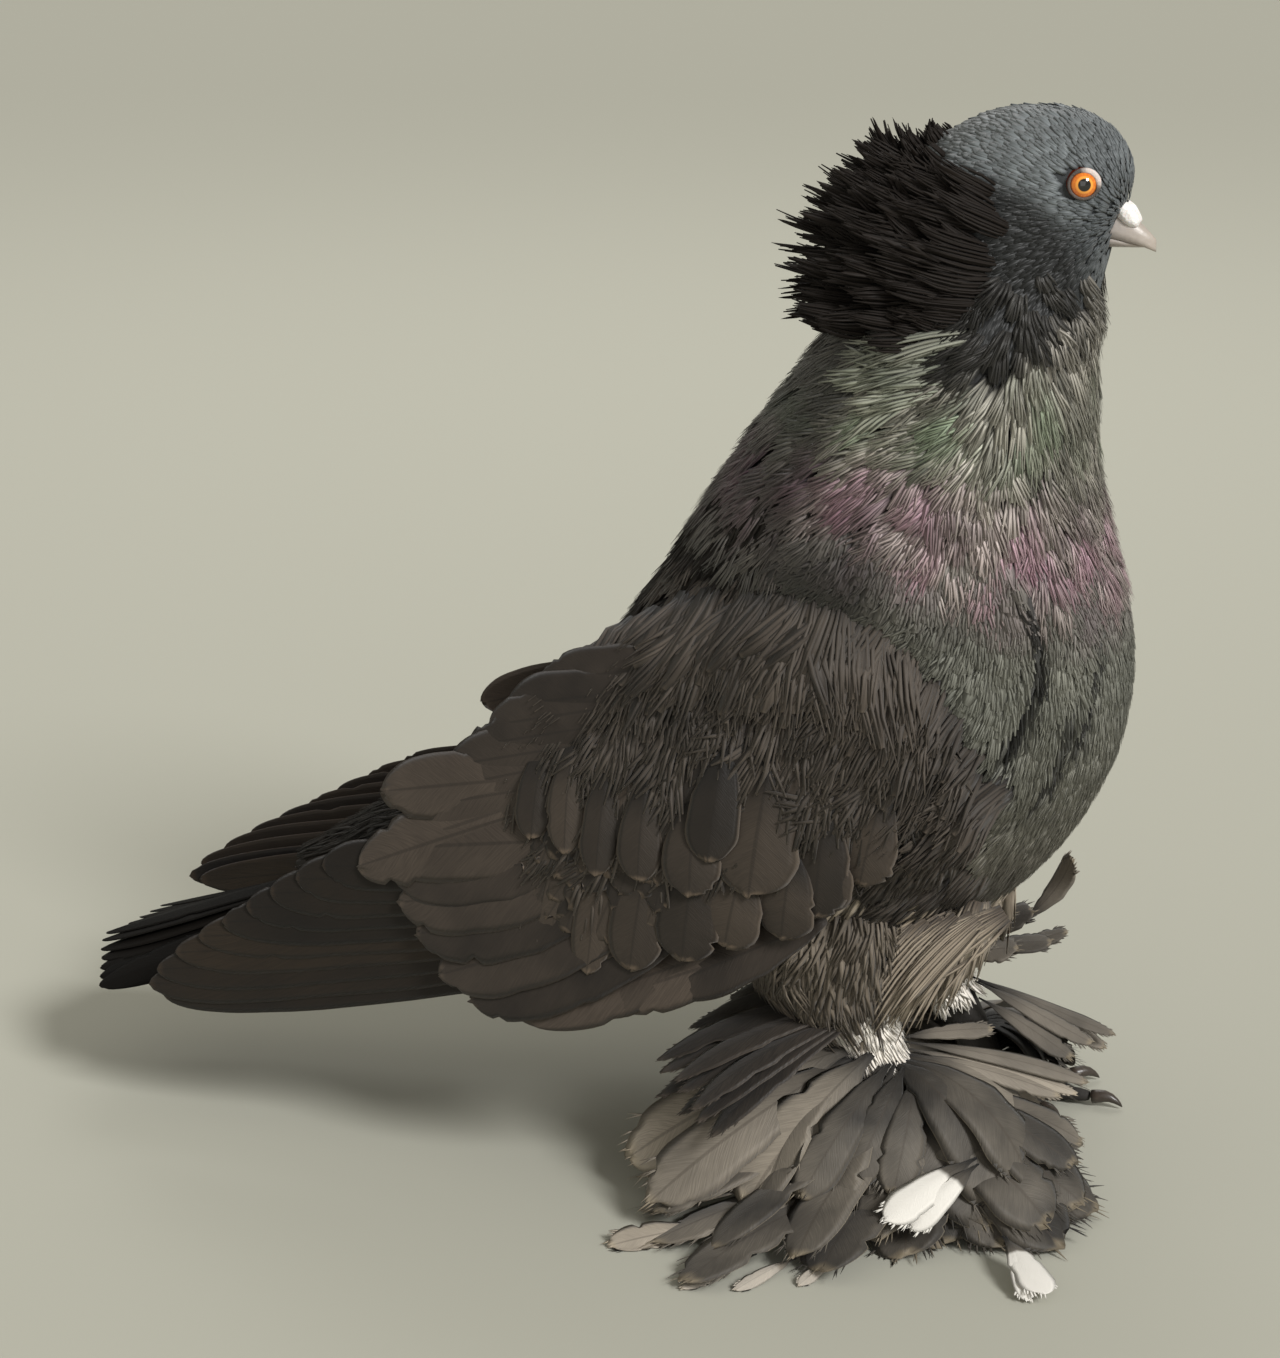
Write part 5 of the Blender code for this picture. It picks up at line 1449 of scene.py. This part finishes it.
def legFeathers(name):
    hand, label = sides[name], name.capitalize()
    surface, middle = legSurface(name)
    cfg = {"strands": 7, "barb": 1.7, "lift": 2.2, "curve": 0.12, "rows": 4, "ridge": 0.05, "tones": (0.05, 0.6, 0.15)}
    first, second = evenly(220, 2)
    a, b = first * 1.95, second * math.tau
    _, alongA, _ = frameOf(surface, a, b)
    lay = unit(alongA) + np.array([-0.6, 0.0, 0.0]) + rng.normal(0, 0.16, (len(a), 3))
    length = rng.uniform(20, 30, len(a)) * np.interp(a, [1.2, 1.95], [1.0, 0.5])
    bundlePiece("thighFeathers" + label, surface, middle, a, b, lay, length, rng.uniform(8, 12, len(a)), cfg,
        looks["thigh"], "foot", spanA=6.0)
    cfg = {"strands": 7, "barb": 1.1, "lift": 1.2, "curve": 0.15, "rows": 4, "ridge": 0.03}
    first, second = evenly(130, 2)
    a, b = 1.95 + first * 1.65, second * math.tau
    _, alongA, _ = frameOf(surface, a, b)
    lay = unit(alongA) + rng.normal(0, 0.18, (len(a), 3))
    bundlePiece("hockDown" + label, surface, middle, a, b, lay, rng.uniform(9, 13, len(a)), rng.uniform(4, 7, len(a)),
        cfg, looks["fluff"], "foot", spanA=6.0)

    # loose feathers that hang from the belly over the thigh, and fill the space between the legs
    first, second = evenly(110, 2)
    x, y = -34 + 38 * first, hand * (2 + 38 * second)
    root = np.stack([x, y, 97 + 0 * x], 1)
    tip = (root + np.stack([rng.uniform(-18, -4, len(x)), hand * rng.uniform(-2, 6, len(x)),
        -rng.uniform(28, 42, len(x))], 1))
    face = np.stack([0.6 + 0.02 * x, hand * (0.3 + 0.02 * np.abs(y)), 0.4 + 0 * x], 1)
    cfg = {"strands": 7, "barb": 1.6, "rows": 4, "short": 0.7, "curve": 0.12, "loose": 0.5, "ridge": 0.05,
        "tones": (0.0, 0.4, 0.15)}
    strands = freeBundles(root, tip, face, rng.uniform(8, 12, len(x)), rng.uniform(1, 4, len(x)), cfg)
    rootUv = inMap(np.stack([first, second], 1))
    strandPiece("ventFeathers" + label, strands, rootUv, cfg, looks["belly"], "plumage")
    k = np.arange(9)
    root = np.stack([12.0 - 4.5 * k, hand * (42 + 0.6 * k), 95.0 - 0.8 * k], 1)
    tip = np.stack([-20.0 - 4.0 * k, hand * (50 + 0.4 * k), 66.0 - 1.2 * k], 1) + rng.normal(0, 2.5, (9, 3))
    cfg = {"strands": 14, "barb": 1.1, "rows": 6, "short": 0.7, "curve": 0.16, "loose": 1.0, "ridge": 0.05,
        "base": 0.6, "tones": (0.0, 0.3, 0.2)}
    strands = freeBundles(root, tip, np.tile([0.2, hand, 0.25], (9, 1)), rng.uniform(11, 15, 9), rng.uniform(1, 3, 9),
        cfg)
    strandPiece("thighPlumes" + label, strands, np.stack([0.02 + 0.1 * k, 0.5 + 0 * k], 1), cfg, looks["belly"],
        "plumage")


for footName in sides:
    makeFoot(footName)
    legFeathers(footName)
print("legs and feet made")


# Claws

def makeClaws(name):
    for toe, heading, path in toePaths(legs[name]):
        points = [path[-1] + heading * d + np.array([0, 0, h])
            for d, h in ((0.4, 0.0), (2.4, 0.4), (4.6, 0.75), (6.6, 0.4), (8.4, -0.5), (9.6, -1.4), (10.4, -2.2))]
        rings = tubeRings(points, [2.25, 2.2, 1.95, 1.55, 1.05, 0.6, 0.15], 14)
        verts, faces = closedTube(rings)
        along = np.repeat(np.linspace(0, 1, len(points)), 14)
        node = f"claw_{toe}_{name}"
        piece = turnOutwards(makePiece(f"{toe}Claw{name.capitalize()}", verts, faces, looks["claw"], "claw", None,
            {"along": along}))
        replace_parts(piece, node)


for footName in sides:
    makeClaws(footName)
print("claws made")


# Beak, wattle and eyes

beak = {"baseX": 27.0, "tipX": 44.0, "lowerTipX": 41.0}


def beakHalf(upper):
    tip = beak["tipX"] if upper else beak["lowerTipX"]
    rings = []
    for t in np.linspace(0, 1, 22) ** 0.8:
        x = beak["baseX"] + (tip - beak["baseX"]) * t
        mouth = 292.6 - 0.2 * (x - 27) - 1.6 * ((x - 27) / 17) ** 4
        edge, far = (mouth + 0.12, 301.4 - 2.6 * t - 7.6 * t**2.4) if upper else (mouth - 0.12, 288.5 + 0.4 * t)
        half = 4.3 * (1 - t**2.2) ** 0.7 + 0.4
        turn = np.linspace(0, math.pi, 15)
        ring = np.stack([np.full(15, x), half * np.cos(turn), edge + (far - edge) * np.sin(turn) ** 0.8], 1)
        rings.append(ring)
    verts, faces = closedTube(np.array(rings))
    along = np.repeat(np.linspace(0, 1, 22), 15)
    name, node = ("beakUpper", "beak_upper") if upper else ("beakLower", "beak_lower")
    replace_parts(turnOutwards(makePiece(name, verts, faces, looks["beak"], "beak", None, {"along": along})), node)


def blob(centre, radii, pitch, rough, seed, rows=28, columns=40):
    lat, lon = np.meshgrid(np.linspace(0.02, math.pi - 0.02, rows), np.linspace(0, math.tau, columns, endpoint=False),
        indexing="ij")
    ball = np.stack([np.sin(lat) * np.cos(lon), np.sin(lat) * np.sin(lon), np.cos(lat)], -1)
    ball = ball * (1 + rough * wander(ball, 0.35, seed))[..., None] * np.array(radii)
    c, s = math.cos(math.radians(pitch)), math.sin(math.radians(pitch))
    turned = np.stack([ball[..., 0] * c + ball[..., 2] * s, ball[..., 1], -ball[..., 0] * s + ball[..., 2] * c], -1)
    return turned + np.array(centre)


def makeWattle():
    lobes = [closedTube(blob((35.2, side * 2.2, 299.0), (5.2, 2.8, 2.6), 46, 0.05, 3 + side)) for side in (1, -1)]
    count = len(lobes[0][0])
    faces = [np.concatenate([lobes[0][1][n], lobes[1][1][n] + count]) for n in (0, 1)]
    piece = makePiece("wattleLobes", np.concatenate([lobe[0] for lobe in lobes]), faces, looks["wattle"], "wattle")
    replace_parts(turnOutwards(piece), "wattle")


eye = {"radius": 5.3, "cornea": 0.25, "iris": 4.0, "lidAt": 3.7, "lidRadius": 4.35, "around": 48, "tube": 10}


def makeEye(side):
    gaze = unit((0.30, side, 0.05))
    centre = np.array([eyePlace[0], side * abs(eyePlace[1]), eyePlace[2]])
    up = unit(np.cross(np.cross(gaze, (0, 0, 1)), gaze))
    right = np.cross(gaze, up)
    lat, lon = np.meshgrid(np.linspace(0.01, math.pi - 0.01, 60), np.linspace(0, math.tau, 64, endpoint=False),
        indexing="ij")
    radius = eye["radius"] + eye["cornea"] * np.clip(1 - lat / 0.6, 0, 1)
    sideways = (up * np.cos(lon)[..., None] + right * np.sin(lon)[..., None]) * np.sin(lat)[..., None]
    verts, faces = closedTube(centre + radius[..., None] * (gaze * np.cos(lat)[..., None] + sideways))
    radial = np.sin(np.minimum(lat, math.pi / 2)) * eye["radius"] / eye["iris"]
    marks = {"radial": np.clip(radial, 0, 1).ravel(), "turn": (np.sin(lon) * 0.5 + 0.5).ravel()}
    name, node = ("eyeRight", "eye_right") if side < 0 else ("eyeLeft", "eye_left")
    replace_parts(turnOutwards(makePiece(name, verts, faces, looks["eye"], "eye", None, marks)), node)
    around, count = eye["around"], eye["tube"]
    turn = np.linspace(0, math.tau, around, endpoint=False)
    middle = centre + gaze * eye["lidAt"]
    loop = middle + eye["lidRadius"] * (up * np.cos(turn)[:, None] * 0.94 + right * np.sin(turn)[:, None])
    tube = np.linspace(0, math.tau, count, endpoint=False)[None, :, None]
    ahead = np.clip(np.cos(turn) * 0.6 + side * np.sin(turn) * 0.6, 0, 1)  # the bare skin is widest above and ahead
    bulge = unit(loop - middle)[:, None] * np.cos(tube) * 1.25 + gaze * np.sin(tube)
    rings = loop[:, None] + deep(0.38 + 0.42 * ahead) * bulge
    r, c = np.meshgrid(np.arange(around), np.arange(count), indexing="ij")
    corners = [((r + down) % around) * count + (c + on) % count for down, on in ((0, 0), (0, 1), (1, 1), (1, 0))]
    lid = makePiece("lidRight" if side < 0 else "lidLeft", rings.reshape(-1, 3), [np.stack(corners, -1).reshape(-1, 4)],
                    looks["lid"], "head", None, {"pale": np.repeat(np.clip(ahead * 2.4 - 1.0, 0, 0.8), count)})
    turnOutwards(lid)


for upper in (True, False):
    beakHalf(upper)
makeWattle()
for eyeSide in sides.values():
    makeEye(eyeSide)
print("beak, wattle and eyes made")


# Floor, light and camera

studio = {"lens": 98.85, "azimuth": 15.0, "elevation": 16.0, "distance": 1165.25, "target": (-111.8, 0.0, 146.5),
          "floor": "#b0afa2", "sky": ("#dfdcd2", 0.55), "lit": (0.0, 0.0, 0.15),
          "lamps": {"key": ("SUN", (1.25, -0.95, 1.3), 3.0, 0.3), "fill": ("AREA", (0.5, -1.7, 0.5), 5.0, 1.4),
                    "rim": ("AREA", (-0.3, 1.4, 1.4), 6.0, 0.9)}}


def makeStudio():
    made, _, _ = newMaterial("matt paper sweep", Base_Color=hexColour(studio["floor"]), Roughness=0.9)
    bpy.ops.mesh.primitive_plane_add(size=12.0)
    floor = bpy.context.object
    floor.name = "floor"
    floor.data.materials.append(made)
    world = bpy.data.worlds.new("studio")
    world.use_nodes = True
    sky = world.node_tree.nodes["Background"].inputs
    sky[0].default_value, sky[1].default_value = hexColour(studio["sky"][0]), studio["sky"][1]
    bpy.context.scene.world = world
    for name, (kind, where, power, size) in studio["lamps"].items():
        light = bpy.data.lights.new(name, kind)
        light.energy = power
        if kind == "SUN":
            light.angle = size
        else:
            light.size = size
        lamp = addObject(name, light)
        lamp.location = where
        lamp.rotation_euler = (Vector(studio["lit"]) - Vector(where)).to_track_quat("-Z", "Y").to_euler()
    camera = bpy.data.cameras.new("camera")
    camera.lens, camera.sensor_width = studio["lens"], 36.0
    camera.clip_start, camera.clip_end = 0.05, 50.0
    viewer = addObject("camera", camera)
    a, e = math.radians(studio["azimuth"]), math.radians(studio["elevation"])
    back = Vector((math.sin(a) * math.cos(e), -math.cos(a) * math.cos(e), math.sin(e)))
    target = Vector(((np.array(studio["target"]) + shift) * metre).tolist())
    viewer.location = target + back * studio["distance"] * metre
    viewer.rotation_euler = (-back).to_track_quat("-Z", "Y").to_euler()
    bpy.context.scene.camera = viewer
    bpy.context.scene.view_settings.view_transform = "Standard"


makeStudio()
print("studio set")

counts = {o.name: sum(len(p.vertices) - 2 for p in o.data.polygons) for o in bpy.data.objects if o.type == "MESH"}
print("triangles", sum(counts.values()), "most in one piece", max(counts.values()), max(counts, key=counts.get))
